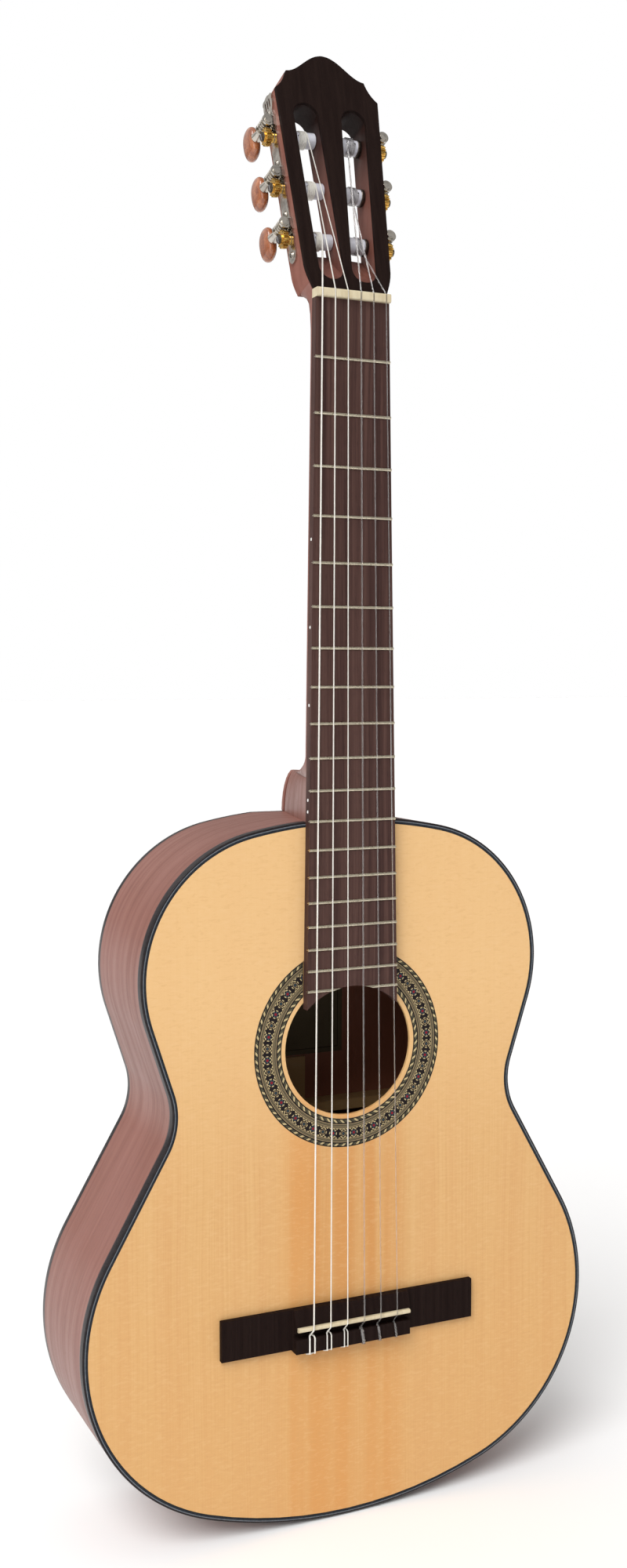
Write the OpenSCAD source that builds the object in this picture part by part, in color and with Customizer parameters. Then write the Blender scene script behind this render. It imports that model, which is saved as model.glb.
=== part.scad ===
// Classical guitar.
// It is drawn lying on its back: x runs across the strings with the treble side positive,
// y runs along the neck from the nut towards the head, and z points out of the soundboard.
// upright() then stands it on end: the head points to +Z and the soundboard faces -Y.
// The origin is on the centre line at the front edge of the nut, in the soundboard's face.

/* [Scale] */
// Length of the open strings, nut to saddle
scale_len = 650; // [640:1:660]
// Number of frets
fret_count = 19; // [18:1:19]

/* [Body] */
// Greatest width of the lower bout
lower_w = 358; // [350:1:366]
// Width of the waist
waist_w = 240; // [234:1:246]
// Greatest width of the upper bout
upper_w = 280; // [274:1:286]
// Saddle to the bottom edge of the body
saddle_to_tail = 133; // [130:1:136]
// Saddle to the top edge of the body
saddle_to_top = 326; // [324:1:328]
// Depth of the body at the tail
depth_tail = 96; // [92:1:100]
// Depth of the body at the heel
depth_heel = 89; // [85:1:91]
// Thickness of the soundboard
top_t = 2.5; // [2.2:0.1:2.8]
// Thickness of the back
back_t = 2.6; // [2.2:0.1:3]
// Thickness of the sides and width of the binding
side_t = 2.2; // [1.8:0.1:2.6]
// Depth of the binding along the sides
binding_h = 5.5; // [4:0.1:7]

/* [Soundhole] */
// Saddle to the centre of the soundhole
hole_to_saddle = 178; // [176:1:180]
// Radius of the soundhole
hole_r = 44.5; // [43.5:0.1:44.5]
// Inner radius of the rosette
rosette_in = 47.3; // [46:0.1:49]
// Outer radius of the rosette
rosette_out = 65.8; // [64:0.1:67]

/* [Neck] */
// Width of the fretboard at the nut
nut_w = 50.5; // [50:0.5:53]
// Width of the fretboard at its lower end
board_end_w = 64; // [62:0.5:65]
// Thickness of the fretboard
board_t = 6; // [5:0.1:7]
// Depth of the neck's wood behind the nut
neck_d_nut = 15.5; // [14:0.1:17]
// Depth of the neck's wood where the heel begins
neck_d_heel = 18; // [16:0.1:19]
// Length of the heel's foot along the body
heel_foot = 28; // [24:1:32]

/* [Head] */
// Backward tilt of the head
head_tilt = 15; // [13:1:16]
// Length of the head, nut to crown
head_len = 162.5; // [158:0.5:166]
// Thickness of the head with its veneer
head_t = 21; // [20:0.5:22]
// Thickness of the head veneer
veneer_t = 2.5; // [1.5:0.1:3]
// Distance between neighbouring tuners
tuner_pitch = 35; // [35:1:35]
// Distance from the nut to the first roller, along the head's side
first_roller = 37.5; // [37:0.5:39]

/* [Tuners] */
// Teeth on each tuner gear
gear_teeth = 14; // [14:1:14]
// Pitch of the worm thread
worm_pitch = 2.3; // [2.3:0.1:2.3]
// Distance between the worm's axis and the gear's axis
worm_offset = 8.5; // [8.5:0.1:8.5]
// Radius of the string rollers
roller_r = 5; // [4.5:0.1:5.5]
// Length of each button across the shaft
button_len = 22; // [21:0.5:25]

/* [Hidden] */
$fn = 48;

// Heights and places along the body, from the nut
saddle_y = -scale_len;
tail_y = saddle_y - saddle_to_tail;
hole_y = saddle_y + hole_to_saddle;
lower_y = saddle_y - 2;
waist_y = saddle_y + 145;
upper_y = saddle_y + 228;
top_y = saddle_y + saddle_to_top;
lower_r = 121;
waist_r = 43;
upper_r = 93;
purfling_w = 1.2;
purfling_t = 1.2;
rosette_t = 1.2;
lining_w = 6;
wall_gap = 0.3;
lining_h = 12;
brace_inset = side_t + lining_w + 0.4;

// Half of the neck's width where it meets the body; the body's edge is straight there
joint_half = 32;
// The lower-bout and upper-bout side arcs decide the radii of the bottom and top arcs
lower_c = [lower_w / 2 - lower_r, lower_y];
waist_c = [waist_w / 2 + waist_r, waist_y];
upper_c = [upper_w / 2 - upper_r, upper_y];
bottom_r = (pow(lower_r, 2) - pow(lower_c.x, 2) - pow(tail_y - lower_y, 2))
    / (2 * (tail_y - lower_y + lower_r));
bottom_c = [0, tail_y + bottom_r];
crest_r = (pow(upper_r, 2) - pow(upper_c.x, 2) - pow(top_y - upper_y, 2))
    / (2 * (upper_r - top_y + upper_y));
crest_c = [0, top_y - crest_r];
joint_y = crest_c.y + sqrt(pow(crest_r, 2) - pow(joint_half, 2));
back_tilt = atan((depth_tail - depth_heel) / (joint_y - tail_y));

// Strings: radius, spacing at the nut and at the saddle, and the roller each one goes to
string_r = [0.36, 0.41, 0.51, 0.37, 0.44, 0.55];
nut_gap = 8.8;
saddle_gap = 12;
nut_string_z = board_t + 2.4;
saddle_top_z = 11;
tie_z = 5.2;
tie_y = saddle_y - 16;
roller_of = [0, 1, 2, 2, 1, 0];
string_on_roller = [-19.1, -20.6, -20.6];

// Frets and fretboard
fret_r = 1;
board_arc_r = hole_r + 0.5;
board_over_hole = 4.5;
board_end_y = hole_y - board_over_hole + sqrt(pow(board_arc_r, 2) - pow(board_end_w / 2, 2));
dot_places = [[5, 0], [7, 0], [9, 0], [12, -3.7], [12, 3.7]];
nut_t = 5.5;
nut_h = 9;

// Head: its frame starts just behind the nut, and its sides taper towards the nut
head_y = nut_t + 0.8;
head_z = 3;
shoulder_len = 18;
head_low = 30;
head_wide = 36;
head_wide_at = 135;
side_taper = atan((head_wide - head_low) / (head_wide_at - shoulder_len));
side_start = head_low - shoulder_len * tan(side_taper);
slot_x = -18.4;
slot_w = 17.4;
slot_low = 6;
slot_high = 126;
slot_ramp = 39;
hole_in_roller = 3.3;
pivot_len = 2.7;
joint_v = 4;

// Tuners, in the frame of the head's side: x outwards, y along the side, z out of the face
axle_z = -12.5;
plate_t = 1.2;
gear_t = 3.6;
gear_x = 3.7;
worm_x = gear_x + gear_t / 2;
hub_end = gear_x + gear_t + 0.85;
gear_pitch_r = gear_teeth * worm_pitch / 360 * 180 / PI;
gear_out_r = gear_pitch_r + 0.5;
gear_root_r = gear_pitch_r - 0.62;
worm_root_r = 2.6;
worm_out_r = 3.8;
lug_r = 3.8;
lug_t = 1.2;
lug_front = axle_z + 6.2;
lug_rear = axle_z - 6.2;
shaft_r = 1.5;
journal_r = 3;
pivot_r = 2;
seat_r = 1.95;
fit = 0.05;
plate_screw_y = [27, 54.5, 89.5, 124];
button_z = axle_z - 14.5;
button_h = 16;
button_w = 8.8;

function side_of(i) = i <= 3 ? 1 : -1;
function roller_y(i) = first_roller + tuner_pitch * roller_of[i - 1];
function fret_y(n) = -scale_len * (1 - pow(2, -n / 12));
function board_half(y) = (nut_w + (board_end_w - nut_w) * y / board_end_y) / 2;
function back_z(y) = -depth_tail + (y - tail_y) * tan(back_tilt);
function string_x(i, gap) = (3.5 - i) * gap;

// ---- Curves and lofts ----

function arc(c, r, a0, a1, n, skip = 0) =
    [for (i = [skip : n]) let (a = a0 + (a1 - a0) * i / n) c + r * [cos(a), sin(a)]];

function bezier(a, b, c, d, n) =
    [for (i = [1 : n]) let (t = i / n, s = 1 - t)
        a * pow(s, 3) + 3 * b * s * s * t + 3 * c * s * t * t + d * pow(t, 3)];

function mirrored(half) =
    concat(half, [for (i = [len(half) - 1 : -1 : 0]) if (half[i].x > 0.01) [-half[i].x, half[i].y]]);

function angle_of(v) = atan2(v.y, v.x);

// Direction of the straight run between a convex arc and the concave waist arc
function run_angle(c, r, turn) =
    let (d = waist_c - c) angle_of(d) + turn * acos((r + waist_r) / norm(d));

run_low = run_angle(lower_c, lower_r, -1);
run_high = run_angle(upper_c, upper_r, 1);
bottom_end = angle_of(lower_c - bottom_c);
crest_start = angle_of(upper_c - crest_c);

// Half outline of the body, moved inwards by inset, from the tail to the neck joint
function half_body(inset) = concat(
    arc(bottom_c, bottom_r - inset, -90, bottom_end, 6),
    arc(lower_c, lower_r - inset, bottom_end, run_low, 26, 1),
    arc(waist_c, waist_r + inset, run_low + 180, run_high + 180, 14),
    arc(upper_c, upper_r - inset, run_high, crest_start, 24),
    arc(crest_c, crest_r - inset, crest_start, acos(joint_half / crest_r), 4, 1)
);

// A closed solid through rings that all have the same number of points
module loft(rings) {
    n = len(rings[0]);
    m = len(rings);
    sides = [for (i = [0 : m - 2], j = [0 : n - 1]) let (k = (j + 1) % n)
        each [[i * n + j, i * n + k, (i + 1) * n + k], [i * n + j, (i + 1) * n + k, (i + 1) * n + j]]];
    first = [[for (j = [n - 1 : -1 : 0]) j]];
    last = [[for (j = [0 : n - 1]) (m - 1) * n + j]];
    polyhedron([for (r = rings) each r], concat(first, sides, last), convexity = 6);
}

// Stand the guitar up: y becomes +Z and z becomes -Y
module upright() rotate([90, 0, 0]) children();

module back_frame() translate([0, tail_y, -depth_tail]) rotate([back_tilt, 0, 0])
    translate([0, -tail_y, 0]) children();

module head_frame() translate([0, head_y, head_z]) rotate([-head_tilt, 0, 0]) children();

// From the head's frame to the frame of one of its sides
module in_side(side) mirror([side > 0 ? 0 : 1, 0, 0]) translate([side_start, 0, 0])
    rotate([0, 0, -side_taper]) children();

module side_frame(side) head_frame() in_side(side) children();

// ---- Body ----

module body_outline(inset = 0) polygon(mirrored(half_body(inset)));

module ring_outline(outer, inner) difference() {
    body_outline(outer);
    body_outline(inner);
}

// Everything more than t in front of the back's outer face
module clear_of_back(t) back_frame() translate([-250, tail_y - 20, t]) cube([500, 520, 150]);

module soundboard() color("burlywood") upright() difference() {
    translate([0, 0, -top_t]) linear_extrude(top_t) body_outline(side_t);
    translate([0, hole_y, -top_t - 1]) cylinder(r = hole_r, h = top_t + 2, $fn = 96);
    translate([0, hole_y, -rosette_t]) difference() {
        cylinder(r = rosette_out, h = rosette_t + 1, $fn = 96);
        translate([0, 0, -1]) cylinder(r = rosette_in, h = rosette_t + 3, $fn = 96);
    }
    translate([0, 0, -purfling_t]) linear_extrude(purfling_t + 1)
        ring_outline(side_t - 1, side_t + purfling_w);
}

module back_plate() color("saddlebrown") upright() back_frame()
    linear_extrude(back_t) body_outline(side_t);

module side_walls() intersection() {
    translate([0, 0, -depth_tail - 5]) linear_extrude(depth_tail + 5 - binding_h)
        ring_outline(0, side_t);
    clear_of_back(binding_h);
}

module bass_side() color("sienna") upright() intersection() {
    side_walls();
    translate([-250, tail_y - 20, -150]) cube([250, 520, 160]);
}

module treble_side() color("sienna") upright() intersection() {
    side_walls();
    translate([0, tail_y - 20, -150]) cube([250, 520, 160]);
}

module top_binding() color("#1c1a1c") upright() translate([0, 0, -binding_h])
    linear_extrude(binding_h) ring_outline(0, side_t);

module top_purfling() color("lightslategray") upright() translate([0, 0, -purfling_t])
    linear_extrude(purfling_t) ring_outline(side_t, side_t + purfling_w);

module back_binding() color("#1c1a1c") upright() back_frame()
    linear_extrude(binding_h) ring_outline(0, side_t);

module rosette() color("rosybrown") upright() translate([0, hole_y, -rosette_t]) difference() {
    cylinder(r = rosette_out, h = rosette_t, $fn = 96);
    translate([0, 0, -1]) cylinder(r = rosette_in, h = rosette_t + 2, $fn = 96);
    translate([-board_end_w / 2 - 0.2, sqrt(pow(board_arc_r, 2) - pow(board_end_w / 2, 2)), -1])
        cube([board_end_w + 0.4, 40, rosette_t + 2]);
}

// ---- Inside the body ----

block_half = 36;
neck_block_len = 55;
tail_block_len = 18;

module inner_space(t = back_t) intersection() {
    translate([0, 0, -depth_tail - 5]) linear_extrude(depth_tail + 5 - top_t)
        body_outline(side_t + wall_gap);
    clear_of_back(t);
}

module neck_block_shape(grow = 0) translate([-block_half - grow, joint_y - neck_block_len - grow, -120])
    cube([2 * (block_half + grow), 100, 130]);

module tail_block_shape(grow = 0) translate([-block_half - grow, tail_y - 20, -120])
    cube([2 * (block_half + grow), 20 + tail_block_len + grow, 130]);

module neck_block() color("peru") upright() intersection() {
    inner_space();
    neck_block_shape();
}

module tail_block() color("peru") upright() intersection() {
    inner_space();
    tail_block_shape();
}

module lining_ring() ring_outline(side_t + wall_gap, side_t + lining_w);

module linings() color("wheat") upright() difference() {
    union() {
        translate([0, 0, -top_t - lining_h]) linear_extrude(lining_h) lining_ring();
        back_frame() translate([0, 0, back_t]) linear_extrude(lining_h) lining_ring();
    }
    neck_block_shape(0.1);
    tail_block_shape(0.1);
}

fan_h = 5;
patch_t = 1.6;
bar_w = 6;
bar_h = 15;
bar_y = [hole_y + 64, hole_y - 64];
fan_x = [-3, -2, -1, 0, 1, 2, 3];

// Seven fan struts spread from the lower harmonic bar towards the tail
module fan_braces() color("wheat") upright() difference() {
    intersection() {
        for (k = fan_x) translate([k * 16, bar_y[1] - 6, -top_t - fan_h]) rotate([0, 0, k * 4.5])
            translate([-2, -205 + 8 * abs(k), 0]) cube([4, 205 - 8 * abs(k), fan_h]);
        translate([0, 0, -40]) linear_extrude(40) body_outline(brace_inset);
    }
    translate([-96, saddle_y - 17.5, -top_t - patch_t]) cube([192, 32, patch_t + 1]);
}

module harmonic_bars() color("wheat") upright() intersection() {
    for (y = bar_y) translate([-180, y - bar_w / 2, -top_t - bar_h]) cube([360, bar_w, bar_h]);
    translate([0, 0, -40]) linear_extrude(40) body_outline(brace_inset);
}

module bridge_patch() color("tan") upright() translate([-95, saddle_y - 16.5, -top_t - patch_t])
    cube([190, 30, patch_t]);

back_brace_y = [saddle_y + 252, saddle_y + 118, saddle_y - 25];

module back_brace_bars(w, h) for (y = back_brace_y) translate([-180, y - w / 2, back_t])
    cube([360, w, h]);

module back_braces() color("wheat") upright() back_frame() intersection() {
    back_brace_bars(7, 14);
    linear_extrude(40) body_outline(brace_inset);
}

module back_centre_strip() color("wheat") upright() back_frame() difference() {
    translate([-8, tail_y + tail_block_len + 0.5, back_t])
        cube([16, joint_y - neck_block_len - tail_y - tail_block_len - 1, 2]);
    back_brace_bars(7.2, 20);
    translate([-38, hole_y - 26, back_t - 1]) cube([76, 52, 4]);
}

module paper_label() color("ivory") upright() back_frame()
    translate([-37, hole_y - 25, back_t]) cube([74, 50, 0.3]);

// ---- Neck ----

// Half of a section that is flat on top: n rounds it, and narrow pulls its lower edge in
section_steps = 11;

function section(half, depth, n, narrow) =
    let (side = [for (i = [0 : section_steps]) let (a = 90 * i / section_steps)
        [half * pow(cos(a), 2 / n) * (1 - narrow * pow(sin(a), 2 / n)), -depth * pow(sin(a), 2 / n)]])
    concat(side, [for (i = [section_steps - 1 : -1 : 0]) [-side[i].x, side[i].y]]);

function neck_ring(y, z, tilt, half, depth, n, narrow) =
    [for (p = section(half, depth, n, narrow)) [p.x, y + p.y * sin(tilt), z + p.y * cos(tilt)]];

heel_sweep = 14;
heel_flare = 1.1;
neck_round = 1.8;
heel_round = 8;
heel_start = joint_y + heel_foot + heel_sweep;
cap_half = 8.8;
cap_t = 3;
foot_steps = 7;
heel_steps = 12;

function neck_depth(y) = neck_d_nut + (neck_d_heel - neck_d_nut) * y / heel_start;
function foot_depth(y) = -back_z(y) - cap_t / cos(back_tilt);

// Half width of the heel's cap at step i from its rounded tip (0) to the body, and the y there
function cap_edge(i) = let (a = 90 * i / foot_steps)
    [cap_half * sqrt(1 - 0.97 * pow(cos(a), 2)), joint_y + heel_foot * cos(a)];

// How far a section of the heel must be pulled in to end at a half width of w
function narrowing(y, w) = 1 - w / board_half(y);

function shaft_rings() = [for (i = [0 : 6]) let (y = heel_start * i / 6 - 30 * (1 - i / 6))
    neck_ring(y, 0, 0, board_half(y), neck_depth(y), neck_round, 0)];

function heel_rings() = [for (i = [1 : heel_steps])
    let (a = 90 * i / heel_steps, y = heel_start - heel_sweep * sin(a), b = 1 - cos(a))
    neck_ring(y, 0, 0, board_half(y), neck_d_heel + (foot_depth(y) - neck_d_heel) * b,
        neck_round + (heel_round - neck_round) * b, narrowing(y, cap_edge(0).x * heel_flare) * b)];

function foot_rings() = [for (i = [1 : foot_steps]) let (edge = cap_edge(i), y = edge.y)
    neck_ring(y, 0, 0, board_half(y), foot_depth(y), heel_round, narrowing(y, edge.x * heel_flare))];

// The rings lean back and grow square as the neck turns into the head
head_seat = [head_y + joint_v * cos(head_tilt) - veneer_t * sin(head_tilt),
    head_z - joint_v * sin(head_tilt) - veneer_t * cos(head_tilt)];

function throat_rings() = [
    neck_ring(head_seat.x, head_seat.y, head_tilt, head_half(joint_v), head_t - veneer_t, 9, 0),
    neck_ring(nut_t, 0, head_tilt * 0.8, nut_w / 2, 17.4, 4.5, 0),
    neck_ring(0, 0, head_tilt * 0.55, nut_w / 2, 16.6, 2.8, 0),
    neck_ring(-8, 0, head_tilt * 0.3, board_half(-8), 16, 2.2, 0),
    neck_ring(-18, 0, head_tilt * 0.1, board_half(-18), 15.7, 1.9, 0)
];

module neck() color("sienna") upright()
    loft(concat(throat_rings(), shaft_rings(), heel_rings(), foot_rings()));

module heel_cap() color("sienna") upright() back_frame() linear_extrude(cap_t)
    polygon(mirrored([for (i = [foot_steps : -1 : 0]) cap_edge(i)]));

// ---- Fretboard ----

module board_outline() difference() {
    polygon([[-nut_w / 2, 0], [-board_end_w / 2, board_end_y], [board_end_w / 2, board_end_y],
        [nut_w / 2, 0]]);
    translate([0, hole_y - board_over_hole]) circle(r = board_arc_r, $fn = 96);
}

module dots() for (d = dot_places) let (y = (fret_y(d[0]) + fret_y(d[0] - 1)) / 2 + d[1])
    translate([-board_half(y), y, board_t / 2]) rotate([0, 90, 0])
        cylinder(r = 1, h = 4, center = true, $fn = 24);

module fretboard() color("#4a2f2a") upright() difference() {
    linear_extrude(board_t) board_outline();
    for (n = [1 : fret_count]) translate([-40, fret_y(n) - 0.27, board_t - 2]) cube([80, 0.54, 3]);
    dots();
}

module side_dots() color("ivory") upright() intersection() {
    dots();
    linear_extrude(board_t) board_outline();
}

// Each fret is a half-round crown over a thin tang
module frets() color("#cdbb94") upright() intersection() {
    for (n = [1 : fret_count]) translate([0, fret_y(n), board_t]) rotate([0, 90, 0])
        linear_extrude(80, center = true) {
            intersection() {
                circle(r = fret_r, $fn = 24);
                translate([-2, -2]) square([2, 4]);
            }
            translate([-0.1, -0.25]) square([2, 0.5]);
        }
    linear_extrude(board_t + 5) board_outline();
}

module nut() color("beige") upright() difference() {
    translate([-nut_w / 2, 0, 0]) rotate([90, 0, 90]) linear_extrude(nut_w) {
        square([nut_t, nut_h - 1.2]);
        translate([1.2, 0]) square([nut_t - 2.4, nut_h]);
        translate([1.2, nut_h - 1.2]) circle(r = 1.2);
        translate([nut_t - 1.2, nut_h - 1.2]) circle(r = 1.2);
    }
    for (i = [1 : 6]) translate([string_x(i, nut_gap), -1, nut_string_z]) rotate([-90, 0, 0]) {
        cylinder(r = string_r[i - 1] + 0.13, h = nut_t + 2, $fn = 24);
        translate([-string_r[i - 1] - 0.13, -4, 0]) cube([2 * string_r[i - 1] + 0.26, 4, nut_t + 2]);
    }
}

// ---- Bridge ----

bridge_w = 180;
bridge_low = saddle_y - 14.5;
bridge_high = saddle_y + 11.9;
wing_h = 3.6;
block_w = 82;
block_h = 8.6;
tie_front = saddle_y - 6.5;
saddle_w = 2.8;
saddle_len = 80;

// Side view of the wood round the saddle, which falls away towards both of its sides
module saddle_block() polygon([[saddle_y - 3.4, 0], [bridge_high, 0], [bridge_high, block_h - 2.8],
    [saddle_y + 3, block_h], [saddle_y - 1.7, block_h - 0.4], [saddle_y - 3.4, block_h - 2.6]]);

module bridge() color("#241a1c") upright() difference() {
    union() {
        translate([-bridge_w / 2, bridge_low, 0]) cube([bridge_w, bridge_high - bridge_low, wing_h]);
        translate([-block_w / 2, tie_y, 0]) cube([block_w, tie_front - tie_y, block_h]);
        translate([-block_w / 2, 0, 0]) rotate([90, 0, 90]) linear_extrude(block_w) saddle_block();
    }
    translate([-saddle_len / 2, saddle_y - saddle_w / 2, 2.4]) cube([saddle_len, saddle_w, 10]);
    for (i = [1 : 6]) translate([string_x(i, saddle_gap), tie_y - 1, tie_z]) rotate([-90, 0, 0])
        cylinder(r = 1, h = tie_front - tie_y + 2, $fn = 24);
}

module saddle() color("beige") upright() translate([-saddle_len / 2 + 0.05, saddle_y, 2.4])
    rotate([90, 0, 90]) linear_extrude(saddle_len - 0.1) {
        translate([-saddle_w / 2, 0]) square([saddle_w, saddle_top_z - 2.4 - saddle_w / 2]);
        translate([0, saddle_top_z - 2.4 - saddle_w / 2]) circle(r = saddle_w / 2, $fn = 32);
    }

// ---- Head ----

function head_half(v) = v < shoulder_len
    ? nut_w / 2 + (head_low - nut_w / 2) * sin(90 * v / shoulder_len)
    : head_low + (v - shoulder_len) * tan(side_taper);

// Shoulder, straight side, scooped corner and the ogee of the crown
function half_head(start) = concat(
    [for (i = [0 : 6]) let (v = start + (shoulder_len - start) * i / 6) [head_half(v), v]],
    [[head_wide, head_wide_at]],
    bezier([head_wide, head_wide_at], [31.5, 138.5], [29, 143], [27.5, 148], 6),
    bezier([27.5, 148], [18, 148.5], [11, head_len], [0, head_len], 12)
);

module head_outline(start) polygon(mirrored(half_head(start)));

module slot_outline() translate([slot_x, 0]) {
    translate([-slot_w / 2, slot_low + slot_w / 2]) square([slot_w, slot_high - slot_low - slot_w]);
    translate([0, slot_low + slot_w / 2]) circle(d = slot_w);
    translate([0, slot_high - slot_w / 2]) circle(d = slot_w);
}

// A slot runs through the head, over a ramp at the nut end
module slot_cut() difference() {
    translate([0, 0, -head_t - 1]) linear_extrude(head_t + 2) slot_outline();
    translate([slot_x - slot_w, slot_low, 0]) rotate([-slot_ramp, 0, 0]) translate([0, -40, -40])
        cube([2 * slot_w, 80, 40]);
}

module along_x(x, y, z, r, h) translate([x, y, z]) rotate([0, 90, 0]) cylinder(r = r, h = h);

module headstock() color("sienna") upright() head_frame() difference() {
    translate([0, 0, -head_t]) linear_extrude(head_t - veneer_t) head_outline(joint_v);
    for (side = [-1, 1]) in_side(side) {
        slot_cut();
        for (k = [0 : 2]) {
            along_x(slot_x, first_roller + k * tuner_pitch, axle_z, journal_r + 0.4, 30);
            along_x(slot_x - slot_w / 2 - pivot_len, first_roller + k * tuner_pitch, axle_z,
                pivot_r + fit, pivot_len + 2);
        }
        for (y = plate_screw_y) along_x(-7, y, axle_z, 1.12, 12);
    }
}

module head_veneer() color("#1d1517") upright() head_frame() difference() {
    translate([0, 0, -veneer_t]) linear_extrude(veneer_t) head_outline(0);
    for (side = [-1, 1]) in_side(side) translate([0, 0, -10]) linear_extrude(20) slot_outline();
}

// ---- Tuning machines ----

lyre_y = plate_screw_y[3] + 5.2;

// Side view of a plate: a strip with a wide field at each tuner, a rounded foot and a lyre top
module plate_outline() difference() {
    union() {
        translate([plate_screw_y[0], axle_z - 5]) square([plate_screw_y[3] - plate_screw_y[0], 10]);
        translate([plate_screw_y[0], axle_z]) circle(r = 5);
        for (k = [0 : 2]) translate([first_roller + k * tuner_pitch, 0]) {
            translate([0, axle_z]) circle(r = 5.8);
            translate([worm_offset - lug_r, lug_rear]) square([2 * lug_r, lug_front - lug_rear]);
        }
        translate([lyre_y, axle_z]) circle(r = 6.8);
        translate([lyre_y, axle_z - 4]) square([6, 8]);
        for (z = [-5, 5]) translate([lyre_y + 4, axle_z + z]) circle(r = 2);
    }
    for (z = [-3, 0, 3]) {
        translate([lyre_y - 1.4, axle_z + z - 0.7]) square([4.4, 1.4]);
        translate([lyre_y - 1.4, axle_z + z]) circle(r = 0.7);
        translate([lyre_y + 3, axle_z + z]) circle(r = 0.7);
    }
}

module lug(z) translate([0, 0, z]) linear_extrude(lug_t) {
    translate([worm_x, worm_offset]) circle(r = lug_r);
    translate([0, worm_offset - 3]) square([worm_x, 6]);
}

module tuner_plate() difference() {
    union() {
        rotate([90, 0, 90]) linear_extrude(plate_t) plate_outline();
        for (k = [0 : 2]) translate([0, first_roller + k * tuner_pitch, 0]) {
            lug(lug_front - lug_t);
            lug(lug_rear);
        }
    }
    for (k = [0 : 2]) translate([0, first_roller + k * tuner_pitch, 0]) {
        along_x(-1, 0, axle_z, journal_r + fit, 4);
        translate([worm_x, worm_offset, lug_rear - 1]) cylinder(r = shaft_r + fit, h = 20);
    }
    for (y = plate_screw_y) along_x(-1, y, axle_z, 1.15, 4);
}

module tuner_plate_bass() color("silver") upright() side_frame(-1) tuner_plate();

module tuner_plate_treble() color("silver") upright() side_frame(1) tuner_plate();

// A round-headed screw with a straight slot in its head
module plate_screw() difference() {
    union() {
        along_x(-6.9, 0, 0, 1.1, 6.9 + plate_t);
        translate([plate_t, 0, 0]) rotate([0, 90, 0]) cylinder(r1 = 2.3, r2 = 1.5, h = 1.2);
    }
    translate([plate_t + 0.6, -3, -0.3]) cube([2, 6, 0.6]);
}

module plate_screws() color("silver") upright() for (side = [-1, 1], y = plate_screw_y)
    side_frame(side) translate([0, y, axle_z]) plate_screw();

tooth_foot = 0.68;
tooth_tip = 0.32;

// Straight trapezoid teeth; one gap faces the worm
module gear_outline() polygon([for (i = [0 : gear_teeth - 1], p = [[-1, 0], [-1, 1], [1, 1], [1, 0]])
    let (r = p.y > 0 ? gear_out_r : gear_root_r, w = p.y > 0 ? tooth_tip : tooth_foot,
        a = 360 * (i + 0.5) / gear_teeth)
    [r * cos(a) - p.x * w * sin(a), r * sin(a) + p.x * w * cos(a)]]);

module gear(i) upright() side_frame(side_of(i)) translate([0, roller_y(i), axle_z]) {
    color("goldenrod") difference() {
        union() {
            translate([gear_x, 0, 0]) rotate([90, 0, 90]) linear_extrude(gear_t) gear_outline();
            along_x(plate_t + 0.15, 0, 0, 3.2, gear_x - plate_t);
            along_x(gear_x + gear_t - 0.1, 0, 0, 3.2, 0.9);
        }
        along_x(0, 0, 0, seat_r + 0.03, 20);
    }
}

// The roller is one piece with its journal, its gear seat and the pivot in the head's centre
module roller(i) color("gainsboro") upright() side_frame(side_of(i)) translate([0, roller_y(i), axle_z]) {
    low = slot_x - slot_w / 2 + 0.4;
    difference() {
        union() {
            along_x(low, 0, 0, roller_r, slot_w - 0.8);
            along_x(low - pivot_len, 0, 0, pivot_r, pivot_len + 0.1);
            along_x(low + slot_w - 0.9, 0, 0, journal_r, plate_t + 1 - low - slot_w);
            along_x(0, 0, 0, seat_r, hub_end + 0.1);
            translate([hub_end, 0, 0]) rotate([0, 90, 0]) cylinder(r1 = 2.6, r2 = 1.9, h = 1.2);
        }
        translate([slot_x + hole_in_roller, 0, 0]) cylinder(r = 0.9, h = 20, center = true, $fn = 24);
        translate([hub_end + 0.6, -4, -0.3]) cube([2, 8, 0.6]);
    }
}

thread_steps = 14;
thread_turns = 3.5;
thread_low = axle_z - worm_pitch * thread_turns / 2;
thread_phase = -90 - 180 * thread_turns;

// Ring i of the thread: a trapezoid that climbs one pitch in each turn; the half turn at
// axle height faces the gear, where the thread sits in a gap between two teeth
function thread_ring(i) = let (a = 360 * i / thread_steps, z = thread_low + worm_pitch * i / thread_steps,
    d = [cos(a + thread_phase), sin(a + thread_phase)])
    let (foot = worm_root_r - 0.3)
    [for (p = [[foot, -0.75], [worm_out_r, -0.28], [worm_out_r, 0.28], [foot, 0.75]])
        [d.x * p.x, d.y * p.x, z + p.y]];

module at_worm(i) side_frame(side_of(i)) translate([worm_x, roller_y(i) + worm_offset, 0]) children();

module worm(i) color("silver") upright() at_worm(i) {
    translate([0, 0, lug_front + 0.1]) cylinder(r = 2.4, h = 0.7);
    translate([0, 0, lug_rear - 1]) cylinder(r = shaft_r, h = lug_front - lug_rear + 1.2);
    translate([0, 0, lug_rear + lug_t + 0.15])
        cylinder(r = worm_root_r, h = lug_front - lug_rear - 2 * lug_t - 0.3);
    translate([0, 0, lug_rear - 1.6]) cylinder(r = 2.6, h = 1.45);
    translate([0, 0, button_z]) cylinder(r1 = 3.4, r2 = 1.8, h = lug_rear - 1 - button_z);
    loft([for (k = [0 : thread_steps * thread_turns]) thread_ring(k)]);
}

// The button is a rounded oval block, widest across its middle
module button(i) color("peru") upright() at_worm(i) translate([0, 0, button_z])
    loft([for (k = [0 : 10]) let (a = -90 + 180 * k / 10, s = pow(max(cos(a), 0.12), 0.6))
        [for (j = [0 : 19]) let (b = 360 * j / 20) [button_w / 2 * s * sin(b), button_len / 2 * s * cos(b),
            -button_h / 2 + button_h / 2 * sin(a) - 0.02]]]);

// ---- Strings ----

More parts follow.
